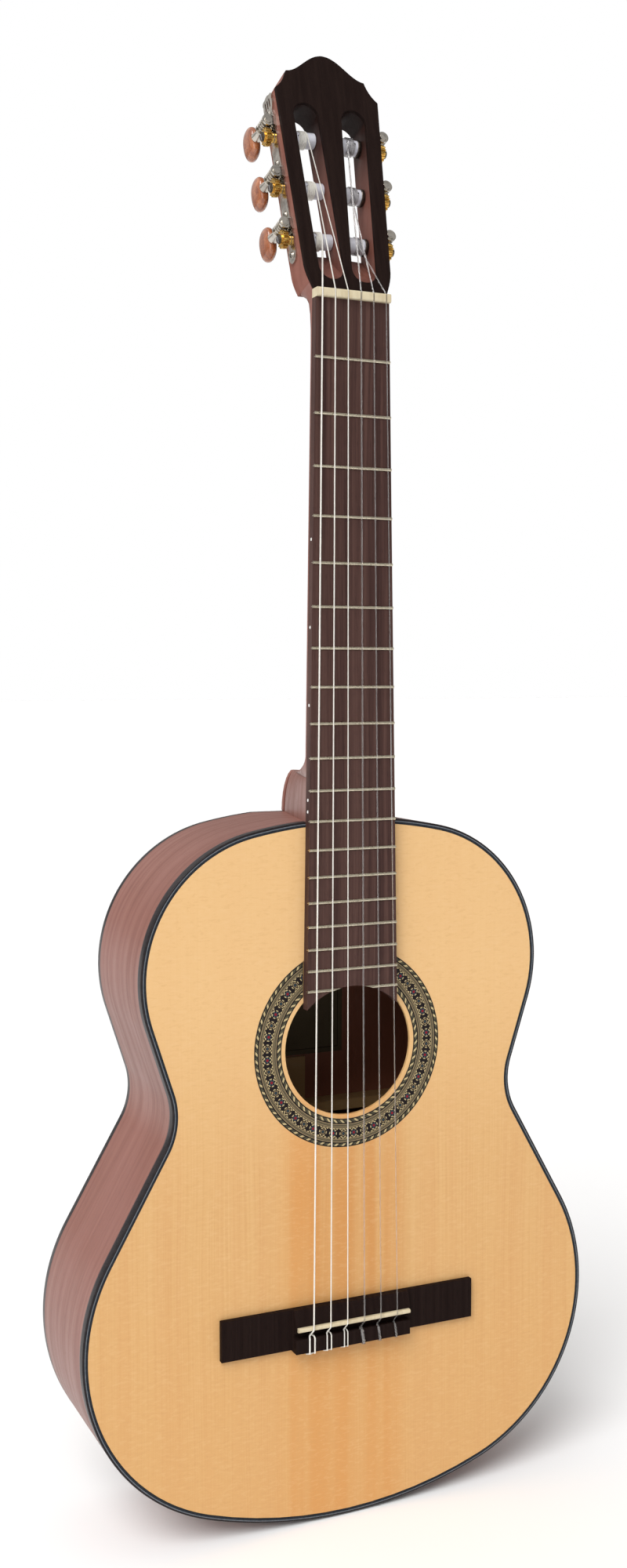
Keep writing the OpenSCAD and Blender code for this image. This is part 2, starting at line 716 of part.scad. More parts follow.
function head_point(p) = [p.x, head_y + p.y * cos(head_tilt) + p.z * sin(head_tilt),
    head_z - p.y * sin(head_tilt) + p.z * cos(head_tilt)];

function side_point(i, x, y, z) = head_point([
    side_of(i) * (side_start + x * cos(side_taper) + y * sin(side_taper)),
    y * cos(side_taper) - x * sin(side_taper), z]);

// From the top of the roller over the nut and the saddle, and through the tie block
function string_path(i) =
    let (r = string_r[i - 1], xn = string_x(i, nut_gap), xs = string_x(i, saddle_gap)) [
    side_point(i, string_on_roller[roller_of[i - 1]], roller_y(i) + 1, axle_z + roller_r + r + 0.15),
    [xn, nut_t - 0.6, nut_string_z - 0.02],
    [xn, 0.6, nut_string_z + 0.02],
    [xs, saddle_y + 0.4, saddle_top_z + r + 0.04],
    [xs, saddle_y - 1, saddle_top_z + r - 0.2],
    [xs, tie_front + 0.6, tie_z + 0.3],
    [xs, tie_front - 1, tie_z],
    [xs, tie_y - 0.8, tie_z]
];

function unit(v) = v / norm(v);

module string(i) upright() {
    path = string_path(i);
    n = len(path);
    loft([for (k = [0 : n - 1])
        let (on = unit(path[min(k + 1, n - 1)] - path[min(k, n - 2)]),
            back = unit(path[max(k, 1)] - path[max(k - 1, 0)]), t = unit(on + back),
            u = unit(cross(t, [1, 0, 0])), w = cross(u, t))
        [for (j = [0 : 7]) path[k] + string_r[i - 1] * (cos(45 * j) * u + sin(45 * j) * w)]]);
}

module wound_string(i) color("whitesmoke") string(i);

module plain_string(i) color("lightgray") string(i);

soundboard();
back_plate();
bass_side();
treble_side();
top_binding();
top_purfling();
back_binding();
rosette();
neck();
heel_cap();
headstock();
head_veneer();
fretboard();
frets();
side_dots();
nut();
bridge();
saddle();
neck_block();
tail_block();
linings();
fan_braces();
harmonic_bars();
bridge_patch();
back_braces();
back_centre_strip();
paper_label();
tuner_plate_bass();
tuner_plate_treble();
plate_screws();
plain_string(1);  // string_1
plain_string(2);  // string_2
plain_string(3);  // string_3
wound_string(4);  // string_4
wound_string(5);  // string_5
wound_string(6);  // string_6
gear(1);  // gear_1
gear(2);  // gear_2
gear(3);  // gear_3
gear(4);  // gear_4
gear(5);  // gear_5
gear(6);  // gear_6
roller(1);  // roller_1
roller(2);  // roller_2
roller(3);  // roller_3
roller(4);  // roller_4
roller(5);  // roller_5
roller(6);  // roller_6
worm(1);  // worm_1
worm(2);  // worm_2
worm(3);  // worm_3
worm(4);  // worm_4
worm(5);  // worm_5
worm(6);  // worm_6
button(1);  // button_1
button(2);  // button_2
button(3);  // button_3
button(4);  // button_4
button(5);  // button_5
button(6);  // button_6
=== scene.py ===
import math

import bmesh
import bpy
from mathutils import Matrix, Vector


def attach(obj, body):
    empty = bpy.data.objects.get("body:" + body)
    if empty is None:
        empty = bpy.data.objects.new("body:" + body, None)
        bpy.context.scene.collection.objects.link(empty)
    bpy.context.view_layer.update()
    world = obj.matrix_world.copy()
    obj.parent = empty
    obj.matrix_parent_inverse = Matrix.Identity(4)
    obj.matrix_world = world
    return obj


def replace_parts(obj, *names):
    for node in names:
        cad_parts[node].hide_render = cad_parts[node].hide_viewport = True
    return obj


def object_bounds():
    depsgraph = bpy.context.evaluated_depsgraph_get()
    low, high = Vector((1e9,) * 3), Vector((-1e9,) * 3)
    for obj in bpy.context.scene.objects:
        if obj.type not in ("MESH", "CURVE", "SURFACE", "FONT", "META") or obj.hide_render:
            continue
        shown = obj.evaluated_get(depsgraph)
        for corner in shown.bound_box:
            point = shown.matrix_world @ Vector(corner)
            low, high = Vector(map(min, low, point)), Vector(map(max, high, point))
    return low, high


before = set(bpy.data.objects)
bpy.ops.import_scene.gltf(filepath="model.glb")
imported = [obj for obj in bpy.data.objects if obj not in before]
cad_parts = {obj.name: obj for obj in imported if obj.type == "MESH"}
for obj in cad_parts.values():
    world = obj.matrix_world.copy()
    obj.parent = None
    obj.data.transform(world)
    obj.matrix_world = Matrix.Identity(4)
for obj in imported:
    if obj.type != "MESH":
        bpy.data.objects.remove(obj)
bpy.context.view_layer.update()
scene = bpy.context.scene
MM = 0.001


def place(x, y, z):
    """A point of the guitar lying flat, in mm: x across, y along the neck from the nut, z out of the top."""
    return Vector((x * MM, -z * MM, y * MM))


# ---- Camera ----

camera = bpy.data.objects.new("camera", bpy.data.cameras.new("camera"))
scene.collection.objects.link(camera)
camera.data.sensor_width = 36
camera.data.lens = 36.65
camera.data.clip_start = 0.01
right = Vector((0.911, -0.4123, -0.0011)).normalized()
ahead = Vector((0.4114, 0.9091, -0.0654)).normalized()
up = right.cross(ahead).normalized()
right = ahead.cross(up)
camera.matrix_world = Matrix.Translation((-0.4398, -0.9173, -0.2357)) @ Matrix((
    (right.x, up.x, -ahead.x, 0), (right.y, up.y, -ahead.y, 0), (right.z, up.z, -ahead.z, 0), (0, 0, 0, 1)))
scene.camera = camera

# ---- Light and floor ----

scene.view_settings.view_transform = "Standard"
world = bpy.data.worlds.new("studio")
scene.world = world
world.use_nodes = True


def light_world(tree):
    """The camera sees plain white; everything else is lit by a dimmer sky that falls off downwards."""
    sky = tree.nodes["Background"]
    white = tree.nodes.new("ShaderNodeBackground")
    white.inputs["Color"].default_value = (1, 1, 1, 1)
    where = tree.nodes.new("ShaderNodeTexCoord")
    split = tree.nodes.new("ShaderNodeSeparateXYZ")
    height = tree.nodes.new("ShaderNodeMapRange")
    height.interpolation_type = "SMOOTHSTEP"
    for key, value in (("From Min", -0.25), ("From Max", 0.75), ("To Min", 0.10), ("To Max", 0.95)):
        height.inputs[key].default_value = value
    path = tree.nodes.new("ShaderNodeLightPath")
    blend = tree.nodes.new("ShaderNodeMixShader")
    links = tree.links
    links.new(where.outputs["Generated"], split.inputs[0])
    links.new(split.outputs["Z"], height.inputs["Value"])
    side = tree.nodes.new("ShaderNodeMapRange")
    side.interpolation_type = "SMOOTHSTEP"
    for key, value in (("From Min", -0.7), ("From Max", 0.7), ("To Min", 1.15), ("To Max", 0.45)):
        side.inputs[key].default_value = value
    both = tree.nodes.new("ShaderNodeMath")
    both.operation = "MULTIPLY"
    links.new(split.outputs["X"], side.inputs["Value"])
    links.new(height.outputs["Result"], both.inputs[0])
    links.new(side.outputs["Result"], both.inputs[1])
    links.new(both.outputs[0], sky.inputs["Strength"])
    links.new(path.outputs["Is Camera Ray"], blend.inputs[0])
    links.new(sky.outputs[0], blend.inputs[1])
    links.new(white.outputs[0], blend.inputs[2])
    links.new(blend.outputs[0], tree.nodes["World Output"].inputs["Surface"])
    sky.inputs["Color"].default_value = (1.0, 0.985, 0.97, 1)


light_world(world.node_tree)


def sun(name, toward, strength, spread):
    """A soft, even light that shines along a direction."""
    lamp = bpy.data.lights.new(name, "SUN")
    lamp.energy = strength
    lamp.angle = math.radians(spread)
    holder = bpy.data.objects.new(name, lamp)
    scene.collection.objects.link(holder)
    holder.rotation_euler = Vector(toward).to_track_quat("-Z", "Y").to_euler()


def softbox(name, where, aim, size, power):
    """A square soft light that faces a point."""
    lamp = bpy.data.lights.new(name, "AREA")
    lamp.size = size
    lamp.energy = power
    holder = bpy.data.objects.new(name, lamp)
    scene.collection.objects.link(holder)
    holder.location = where
    holder.rotation_euler = (Vector(aim) - Vector(where)).to_track_quat("-Z", "Y").to_euler()


sun("key", (0.62, 0.60, -0.95), 2.0, 34)
softbox("fill", (-1.9, -1.6, 0.4), (0, 0, -0.4), 1.2, 12)

# ---- Procedural materials ----


class Value:
    """A number in a shader; arithmetic on it adds Math nodes."""

    def __init__(self, tree, socket):
        self.tree, self.socket = tree, socket

    def math(self, operation, *others):
        node = self.tree.nodes.new("ShaderNodeMath")
        node.operation = operation
        for slot, value in zip(node.inputs, (self, *others)):
            if isinstance(value, Value):
                self.tree.links.new(value.socket, slot)
            else:
                slot.default_value = value
        return Value(self.tree, node.outputs[0])

    def __add__(self, other):
        return self.math("ADD", other)

    def __sub__(self, other):
        return self.math("SUBTRACT", other)

    def __mul__(self, other):
        return self.math("MULTIPLY", other)

    def above(self, limit):
        return self.math("GREATER_THAN", limit)

    def below(self, limit):
        return self.math("LESS_THAN", limit)

    def between(self, low, high):
        return self.above(low) * self.below(high)

    def fade(self, low, high, out_low=0.0, out_high=1.0):
        """Goes smoothly from out_low at low to out_high at high."""
        node = self.tree.nodes.new("ShaderNodeMapRange")
        node.interpolation_type = "SMOOTHSTEP"
        self.tree.links.new(self.socket, node.inputs["Value"])
        for key, value in (("From Min", low), ("From Max", high), ("To Min", out_low), ("To Max", out_high)):
            node.inputs[key].default_value = value
        return Value(self.tree, node.outputs["Result"])


class Finish:
    """A material with a Principled shader, and short ways to add patterns to it."""

    def __init__(self, name, **fixed):
        self.material = bpy.data.materials.new(name)
        self.material.use_nodes = True
        self.tree = self.material.node_tree
        self.shader = self.tree.nodes["Principled BSDF"]
        for key, value in fixed.items():
            self.shader.inputs[key.replace("_", " ")].default_value = value

    def position(self):
        """x across, y along the guitar and z out of its top, in mm, from the object's own coordinates."""
        source = self.tree.nodes.new("ShaderNodeTexCoord").outputs["Object"]
        parts = self.tree.nodes.new("ShaderNodeSeparateXYZ")
        self.tree.links.new(source, parts.inputs[0])
        x, y, z = (Value(self.tree, out) for out in parts.outputs)
        return x * 1000, z * 1000, y * -1000

    def grain_map(self):
        """Distance along a bent piece and across it, in mm, from its own map."""
        node = self.tree.nodes.new("ShaderNodeUVMap")
        node.uv_map = "grain"
        parts = self.tree.nodes.new("ShaderNodeSeparateXYZ")
        self.tree.links.new(node.outputs[0], parts.inputs[0])
        return Value(self.tree, parts.outputs[0]) * 1000, Value(self.tree, parts.outputs[1]) * 1000

    def vector(self, x, y, z=0.0):
        node = self.tree.nodes.new("ShaderNodeCombineXYZ")
        for slot, value in zip(node.inputs, (x, y, z)):
            if isinstance(value, Value):
                self.tree.links.new(value.socket, slot)
            else:
                slot.default_value = value
        return node.outputs[0]

    def noise(self, vector, detail=2.0, roughness=0.5, distortion=0.0):
        node = self.tree.nodes.new("ShaderNodeTexNoise")
        self.tree.links.new(vector, node.inputs["Vector"])
        settings = {"Scale": 1.0, "Detail": detail, "Roughness": roughness, "Distortion": distortion}
        for key, value in settings.items():
            node.inputs[key].default_value = value
        return Value(self.tree, node.outputs["Fac"])

    def ramp(self, factor, *stops):
        """stops are (place, (r, g, b)), in linear colour."""
        node = self.tree.nodes.new("ShaderNodeValToRGB")
        self.tree.links.new(factor.socket, node.inputs[0])
        marks = node.color_ramp.elements
        while len(marks) < len(stops):
            marks.new(0.5)
        for mark, (where, colour) in zip(marks, stops):
            mark.position = where
            mark.color = (*colour, 1)
        return node.outputs["Color"]

    def mix(self, factor, first, second):
        node = self.tree.nodes.new("ShaderNodeMix")
        node.data_type = "RGBA"
        slots = {"Factor": node.inputs[0], "A": node.inputs[6], "B": node.inputs[7]}
        for key, value in (("Factor", factor), ("A", first), ("B", second)):
            if isinstance(value, Value):
                self.tree.links.new(value.socket, slots[key])
            elif isinstance(value, bpy.types.NodeSocket):
                self.tree.links.new(value, slots[key])
            else:
                slots[key].default_value = (*value, 1) if isinstance(value, tuple) else value
        return node.outputs[2]

    def colour(self, socket):
        self.tree.links.new(socket, self.shader.inputs["Base Color"])
        return self

    def roughness(self, value):
        self.tree.links.new(value.socket, self.shader.inputs["Roughness"])
        return self

    def bump(self, height, depth_mm):
        node = self.tree.nodes.new("ShaderNodeBump")
        node.inputs["Strength"].default_value = 1.0
        node.inputs["Distance"].default_value = depth_mm * MM
        self.tree.links.new(height.socket, node.inputs["Height"])
        self.tree.links.new(node.outputs[0], self.shader.inputs["Normal"])
        return self


SADDLE_Y = -650.0
HOLE_Y = -472.0
TAIL_Y = -783.0
DEPTH_TAIL = 96.0
BACK_TILT_DEGREES = 0.8768
HALF_BACK_T = 1.3


def shaded(colour, shade):
    return tuple(v * shade for v in colour)


def make_spruce(name="spruce_top", shade=0.80, banded=True):
    """Straight, close-grained softwood, joined along the middle, with darker bands below the hole."""
    f = Finish(name, Roughness=0.42, Specular_IOR_Level=0.3, Coat_Weight=0.08, Coat_Roughness=0.3)
    x, y, z = f.position()
    drift = f.noise(f.vector(x * 0.02, y * 0.006), detail=1.0)
    across = x.math("ABSOLUTE") + drift * 6 if banded else x + z
    rings = f.noise(f.vector(across * 0.95, y * 0.004), detail=3.0, roughness=0.75)
    broad = f.noise(f.vector(across * 0.06, y * 0.0014), detail=2.0, roughness=0.6)
    silk = f.noise(f.vector(x * 0.16, y * 0.55), detail=3.0, roughness=0.65, distortion=0.8)
    light, mid, dark = (0.85, 0.53, 0.235), (0.80, 0.465, 0.185), (0.72, 0.38, 0.135)
    wood = f.ramp(rings, (0.30, shaded(dark, shade)), (0.47, shaded(mid, shade)), (0.64, shaded(light, shade)))
    wood = f.mix(0.5, wood, shaded(mid, shade))
    wood = f.mix(broad.fade(0.35, 0.62, 0.30, 0.0), wood, shaded((0.76, 0.40, 0.155), shade))
    if banded:
        low = y.fade(HOLE_Y - 60, HOLE_Y + 20, 1.0, 0.0)
        bands = f.noise(f.vector(x * 0.075 + 3.1, y * 0.0012), detail=1.5, roughness=0.6)
        centre = (x + 4).math("ABSOLUTE").fade(28, 52, 1.0, 0.0)
        wood = f.mix(bands.fade(0.38, 0.60, 0.30, 0.95) * centre * low, wood, shaded((0.76, 0.345, 0.095), shade))
        side_low = y.fade(-700, -560, 0.35, 0.0)
        wood = f.mix(side_low, wood, shaded((0.80, 0.43, 0.15), shade))
        high = y.fade(-580, -420, 0.0, 0.75)
        wood = f.mix(high, wood, shaded((0.93, 0.595, 0.275), shade))
    wood = f.mix(silk.fade(0.50, 0.66, 0.0, 0.15), wood, shaded((0.96, 0.66, 0.36), shade))
    wood = f.mix(silk.fade(0.34, 0.46, 0.20, 0.0), wood, shaded((0.70, 0.38, 0.15), shade))
    f.colour(wood)
    f.bump(rings + silk * 0.4, 0.02)
    return f.roughness(silk.fade(0.3, 0.7, 0.5, 0.40)).material


def make_red_wood(name, along_map=False, lines=False, gloss=0.42, shade=0.84, inside=None, shade_mask=None, shine=0.35):
    """Reddish brown hardwood with long streaks and open pores along its grain."""
    f = Finish(name, Roughness=gloss, Specular_IOR_Level=shine, Coat_Weight=shine / 3, Coat_Roughness=0.35)
    if along_map:
        along, across = f.grain_map()
        deep = 0.0
    else:
        x, along, z = f.position()
        across = x * 0.8 + z
        deep = x * 0.3
    wander = f.noise(f.vector(along * 0.004, across * 0.02), detail=1.0) * 14
    streak = f.noise(f.vector(along * 0.006, (across + wander) * 0.16, deep), detail=4.0, roughness=0.62)
    pores = f.noise(f.vector(along * 0.14, (across + wander) * 2.4, deep), detail=2.0, roughness=0.6)
    cloud = f.noise(f.vector(along * 0.012, across * 0.03), detail=2.0)
    tones = ((0.28, (0.165, 0.058, 0.043)), (0.44, (0.235, 0.090, 0.066)), (0.60, (0.290, 0.118, 0.087)),
             (0.76, (0.330, 0.142, 0.106)))
    wood = f.ramp(streak, *((where, shaded(tone, shade)) for where, tone in tones))
    wood = f.mix(0.45, wood, shaded((0.262, 0.102, 0.075), shade))
    wood = f.mix(cloud.fade(0.38, 0.66, 0.0, 0.35), wood, shaded((0.33, 0.145, 0.118), shade))
    wood = f.mix(pores.fade(0.58, 0.70, 0.0, 0.45), wood, shaded((0.100, 0.032, 0.025), shade))
    # Painted shade: near-black mixed in by the given mask, for the shaded walls of the head's slots.
    if shade_mask:
        wood = f.mix(shade_mask(f), wood, (0.008, 0.0035, 0.003))
    # Painted shade: above the middle of the back's thickness, its inner face gets one plain darker colour for the
    # shade inside the body.
    if inside:
        wood = f.mix(inside(f).between(-900, 0), shaded((0.20, 0.068, 0.038), shade), wood)
    if lines:
        wood = f.mix(across.between(5.4, 6.5), wood, (0.045, 0.026, 0.028))
    f.colour(wood)
    f.bump(pores.fade(0.58, 0.70, 1.0, 0.0) + streak * 0.3, 0.05)
    return f.roughness(streak.fade(0.3, 0.7, gloss + 0.08, gloss - 0.06)).material


def make_dark_wood(name, dark, light, streaks, gloss=0.45, pore=0.4, shine=0.14):
    """Dense dark wood with straight streaks along the neck."""
    f = Finish(name, Roughness=gloss, Specular_IOR_Level=shine)
    x, y, z = f.position()
    wander = f.noise(f.vector(x * 0.02, y * 0.004), detail=1.0) * 5
    streak = f.noise(f.vector((x + wander) * streaks, y * 0.003, z * 0.1), detail=4.0, roughness=0.68)
    pores = f.noise(f.vector(x * 3.0, y * 0.12, z * 2.0), detail=1.0)
    mean = tuple((a + b) / 2 for a, b in zip(dark, light))
    wood = f.ramp(streak, (0.34, dark), (0.50, mean), (0.64, light))
    wood = f.mix(pores.fade(0.60, 0.72, 0.0, pore), wood, shaded(dark, 0.35))
    f.colour(wood)
    f.bump(pores.fade(0.60, 0.72, 1.0, 0.0) + streak * 0.3, 0.04)
    return f.roughness(streak.fade(0.3, 0.7, gloss + 0.1, gloss - 0.05)).material


def make_metal(name, colour, gloss, tarnish_and_dark_reflection, patch=0.6):
    """Plated metal: fine scratches, and darker patches that are partly tarnish and partly painted dark reflection.
    """
    f = Finish(name, Metallic=1.0, Roughness=gloss)
    x, y, z = f.position()
    marks = f.noise(f.vector(x * patch, y * patch, z * patch), detail=4.0, roughness=0.7)
    scratch = f.noise(f.vector(x * 5, y * 0.5, z * 5), detail=3.0, roughness=0.7)
    # Darker patches: partly tarnish, partly painted dark reflection.
    f.colour(f.mix(marks.fade(0.40, 0.64), colour, shaded(colour, tarnish_and_dark_reflection)))
    f.bump(scratch, 0.012)
    return f.roughness(marks.fade(0.35, 0.70, gloss * 0.75, gloss * 1.7)).material


def make_plastic(name, colour, shade, gloss, size=0.25, coat=0.3, streaky=1.0, shine=0.5):
    """Moulded or polished material with faint clouding and a slightly uneven surface."""
    f = Finish(name, Roughness=gloss, Specular_IOR_Level=shine, Coat_Weight=coat, Coat_Roughness=0.12)
    x, y, z = f.position()
    cloud = f.noise(f.vector(x * size, y * size * streaky, z * size), detail=3.0, roughness=0.6, distortion=0.6)
    grit = f.noise(f.vector(x * 2.2, y * 2.2, z * 2.2), detail=3.0)
    f.colour(f.mix(cloud.fade(0.36, 0.66), colour, shade))
    f.bump(grit, 0.02)
    return f.roughness(grit.fade(0.3, 0.7, gloss * 0.8, gloss * 1.25)).material


def make_amber(name):
    """Amber-brown button with wavy wood-like bands under a clear gloss."""
    f = Finish(name, Roughness=0.22, Specular_IOR_Level=0.5, Coat_Weight=0.6, Coat_Roughness=0.06)
    x, y, z = f.position()
    wander = f.noise(f.vector(x * 0.12, y * 0.12, z * 0.12), detail=2.0) * 9
    bands = f.noise(f.vector((x + wander) * 0.42, y * 0.10, (z + wander) * 0.30), detail=3.0, roughness=0.6)
    f.colour(f.ramp(bands, (0.30, (0.17, 0.042, 0.014)), (0.46, (0.27, 0.080, 0.028)),
                    (0.60, (0.34, 0.115, 0.044)), (0.78, (0.46, 0.180, 0.075))))
    f.bump(bands, 0.03)
    return f.roughness(bands.fade(0.3, 0.7, 0.30, 0.18)).material


def make_wound(name):
    """Silver-plated winding wire: fine ridges round the string along its length."""
    f = Finish(name, Metallic=0.35, Roughness=0.34)
    along, across = f.grain_map()
    ridge = (along * (2 * math.pi / 0.32)).math("SINE")
    tone = f.noise(f.vector(along * 0.05, across * 0.2), detail=2.0)
    f.colour(f.mix(tone.fade(0.35, 0.65), (0.95, 0.93, 0.87), (0.86, 0.83, 0.76)))
    f.bump(ridge, 0.06)
    return f.roughness(ridge.fade(-1.0, 1.0, 0.42, 0.26)).material


def make_nylon(name):
    """Clear nylon with a slight haze."""
    f = Finish(name, Roughness=0.12, IOR=1.50, Transmission_Weight=0.93, Specular_IOR_Level=0.3)
    along, across = f.grain_map()
    haze = f.noise(f.vector(along * 0.08, across * 0.4), detail=2.0)
    f.colour(f.mix(haze.fade(0.35, 0.65), (0.86, 0.84, 0.82), (0.74, 0.72, 0.72)))
    f.bump(haze, 0.01)
    return f.roughness(haze.fade(0.3, 0.7, 0.2, 0.1)).material


def make_paper(name):
    """Blank paper with fibres and a plain printed border line, its colours painted dark as the shade inside the
    body.
    """
    f = Finish(name, Roughness=0.85, Specular_IOR_Level=0.2)
    x, y, z = f.position()
    fibre = f.noise(f.vector(x * 1.6, y * 1.6), detail=4.0, roughness=0.7)
    stain = f.noise(f.vector(x * 0.05, y * 0.05), detail=2.0)
    # Painted shade: the paper's tones are darkened for the shade inside the body.
    sheet = f.mix(fibre.fade(0.35, 0.65), (0.060, 0.044, 0.024), (0.078, 0.058, 0.034))
    sheet = f.mix(stain.fade(0.45, 0.7, 0.0, 0.4), sheet, (0.045, 0.030, 0.014))
    wide, tall = x.math("ABSOLUTE"), (y - HOLE_Y).math("ABSOLUTE")
    edge_w, edge_h, line = 33.9, 21.9, 0.7
    sides, ends = wide.between(edge_w - line, edge_w), tall.between(edge_h - line, edge_h)
    border = (sides * tall.below(edge_h)).math("MAXIMUM", ends * wide.below(edge_w))
    f.colour(f.mix(border, sheet, (0.030, 0.018, 0.010)))
    f.bump(fibre, 0.03)
    return f.material


def make_rosette(name, inner=47.3, outer=65.8, repeats=24):
    """Inlaid rings: line groups, two rope borders, and a band of round and six-petalled motifs."""
    f = Finish(name, Roughness=0.42, Specular_IOR_Level=0.12)
    x, y, z = f.position()
    up_y = y - HOLE_Y
    radius = (x * x + up_y * up_y).math("SQRT")
    turn = x.math("ARCTAN2", up_y) * (1 / (2 * math.pi)) + 0.5
    step = radius - inner
    ink, cream, tan, sage, teal, red = ((0.010, 0.007, 0.008), (0.50, 0.40, 0.21), (0.30, 0.22, 0.12),
                                        (0.095, 0.088, 0.055), (0.024, 0.042, 0.055), (0.22, 0.012, 0.022))
    fine = f.noise(f.vector(x * 1.2, y * 1.2), detail=3.0, roughness=0.7)
    paint = f.mix(fine, (0.16, 0.125, 0.070), (0.26, 0.205, 0.115))

    def ring(low, high, colour, base):
        return f.mix(step.between(low, high), base, colour)

    # Groups of lines on both sides of the middle band
    for start in (3.2, 12.9):
        for k, colour in enumerate((ink, tan, ink, sage, ink, tan, ink)):
            paint = ring(start + 0.42 * k, start + 0.42 * k + 0.30, colour, paint)
    # Rope borders: slanted tiles, light and dark in turn
    for low, high, slant, number in ((0.45, 2.95, 0.055, 62), (15.95, 18.05, -0.05, 78)):
        twist = (turn * number + step * slant * 4).math("FRACT")
        tile = f.mix(twist.between(0.12, 0.46), f.mix(fine, ink, shaded(sage, 0.8)), cream)
        tile = f.mix(twist.between(0.60, 0.74), tile, sage)
        edge = (step - (low + high) / 2).math("ABSOLUTE").above((high - low) / 2 - 0.3)
        tile = f.mix(edge, tile, ink)
        paint = ring(low, high, tile, paint)
        paint = ring(low - 0.35, low, ink, paint)
        paint = ring(high, high + 0.35, ink, paint)
    # Middle band: two motifs in turn on a dark ground
    middle, half = 9.65, 3.25
    cell = (turn * (2 * repeats)).math("FRACT") - 0.5
    odd = (turn * repeats).math("FRACT").above(0.5)
    u = cell * (2 * math.pi * (inner + middle) / (2 * repeats))
    v = step - middle
    reach = (u * u + v * v).math("SQRT")
    spin = v.math("ARCTAN2", u)
    beads = (spin * 6).math("COSINE").above(-0.35)
    petals = (spin * 6).math("COSINE").above(-0.1)
    band = f.mix(reach.between(2.15, 2.75) * beads, ink, cream)
    round_motif = f.mix(reach.between(1.15, 1.6), band, shaded(tan, 0.8))
    round_motif = f.mix(reach.below(0.85), round_motif, teal)
    star_motif = f.mix(reach.between(1.0, 1.9) * petals, band, shaded(teal, 1.8))
    star_motif = f.mix(reach.below(0.85), star_motif, red)
    band = f.mix(odd, round_motif, star_motif)
    teeth = (turn * (6 * repeats)).math("PINGPONG", 0.5)
    border = v.math("ABSOLUTE") - half + teeth * 2.0
    band = f.mix(border.above(0.15) * reach.above(2.75), band, cream)
    paint = ring(middle - half, middle + half, band, paint)
    f.colour(paint)
    f.bump(fine, 0.01)
    return f.roughness(fine.fade(0.3, 0.7, 0.40, 0.32)).material


SPRUCE = make_spruce()
# Painted shade: braces, blocks and linings inside the body are spruce darkened to about a third, for the shade
# inside the body.
BRACE = make_spruce("brace_spruce", shade=0.34, banded=False)
NECK_WOOD = make_red_wood("mahogany_neck")
SIDE_WOOD = make_red_wood("mahogany_sides", along_map=True, lines=True)


def height_over_back(f):
    """Height above the middle of the back's thickness, in mm."""
    x, y, z = f.position()
    return z - (y - TAIL_Y) * math.tan(math.radians(BACK_TILT_DEGREES)) + (DEPTH_TAIL - HALF_BACK_T)


def painted_slot_shade(f):
    """Mask of painted shade for the slot walls: 1 between the head's outer sides, where its slots are, fading in
    towards the crown; 0 outside them. It covers every face there, the head's rear face too.
    """
    x, y, z = f.position()
    return x.math("ABSOLUTE").fade(25.0, 27.5, 1.0, 0.0) * y.fade(58, 122, 0.20, 0.97)


# The head's wood gets painted shade on its slot walls.
HEAD_WOOD = make_red_wood("mahogany_head", shade_mask=painted_slot_shade, shine=0.08)
# The back's inner face is painted dark as shade inside the body.
BACK_WOOD = make_red_wood("mahogany_back", inside=height_over_back)
BOARD_WOOD = make_dark_wood("fretboard_wood", (0.036, 0.016, 0.014), (0.090, 0.046, 0.038), 0.26)
BLACK_WOOD = make_dark_wood("stained_wood", (0.010, 0.0050, 0.0042), (0.015, 0.0080, 0.0065), 0.35,
                            gloss=0.6, pore=0.5, shine=0.05)
BINDING = make_plastic("binding_black", (0.012, 0.010, 0.011), (0.020, 0.015, 0.016), 0.32, coat=0.05, shine=0.15)
PURFLING_DARK = make_plastic("purfling_dark", (0.014, 0.017, 0.022), (0.022, 0.026, 0.032), 0.4, size=0.6,
                             coat=0.0, shine=0.1)
PURFLING_LIGHT = make_plastic("purfling_light", (0.10, 0.12, 0.14), (0.15, 0.16, 0.18), 0.4, size=0.6,
                              coat=0.0, shine=0.1)
ROSETTE = make_rosette("rosette_inlay")
BONE = make_plastic("bone", (0.62, 0.54, 0.37), (0.54, 0.45, 0.29), 0.34, size=0.18, streaky=0.3)
PEARL = make_plastic("pearl_dots", (0.85, 0.84, 0.80), (0.72, 0.72, 0.70), 0.25, size=1.5, coat=0.5)
PAPER = make_paper("label_paper")
NICKEL = make_metal("nickel", (0.60, 0.56, 0.50), 0.15, 0.66, patch=0.14)
SCREW_NICKEL = make_metal("screw_nickel", (0.36, 0.33, 0.29), 0.34, 0.55, patch=0.8)
BRASS = make_metal("brass", (0.74, 0.46, 0.12), 0.20, 0.50, patch=0.35)
FRET_METAL = make_metal("fret_wire", (0.62, 0.56, 0.43), 0.28, 0.80)
ROLLER = make_plastic("roller_plastic", (0.56, 0.56, 0.62), (0.62, 0.62, 0.67), 0.30, size=0.2, coat=0.2)
DARK_STEEL = make_metal("dark_steel", (0.12, 0.10, 0.085), 0.38, 0.5)
AMBER = make_amber("amber_button")
WOUND = make_wound("wound_string")
NYLON = make_nylon("nylon_string")

# ---- Meshes ----


def add_piece(name, points, faces, material, slot_name, body="root", grain=None, crease=35):
    """A mesh piece in the guitar's frame; points are in metres, and grain gives each face corner's map place."""
    mesh = bpy.data.meshes.new(name)
    mesh.from_pydata(points, [], faces)
    if grain:
        layer = mesh.uv_layers.new(name="grain")
        flat = [c for face in grain for corner in face for c in corner]
        layer.data.foreach_set("uv", flat)
    work = bmesh.new()
    work.from_mesh(mesh)
    bmesh.ops.recalc_face_normals(work, faces=work.faces)
    work.to_mesh(mesh)
    work.free()
    mesh.materials.append(material)
    mesh.shade_smooth()
    mesh.set_sharp_from_angle(angle=math.radians(crease))
    piece = bpy.data.objects.new(name, mesh)
    scene.collection.objects.link(piece)
    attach(piece, body)
    return piece


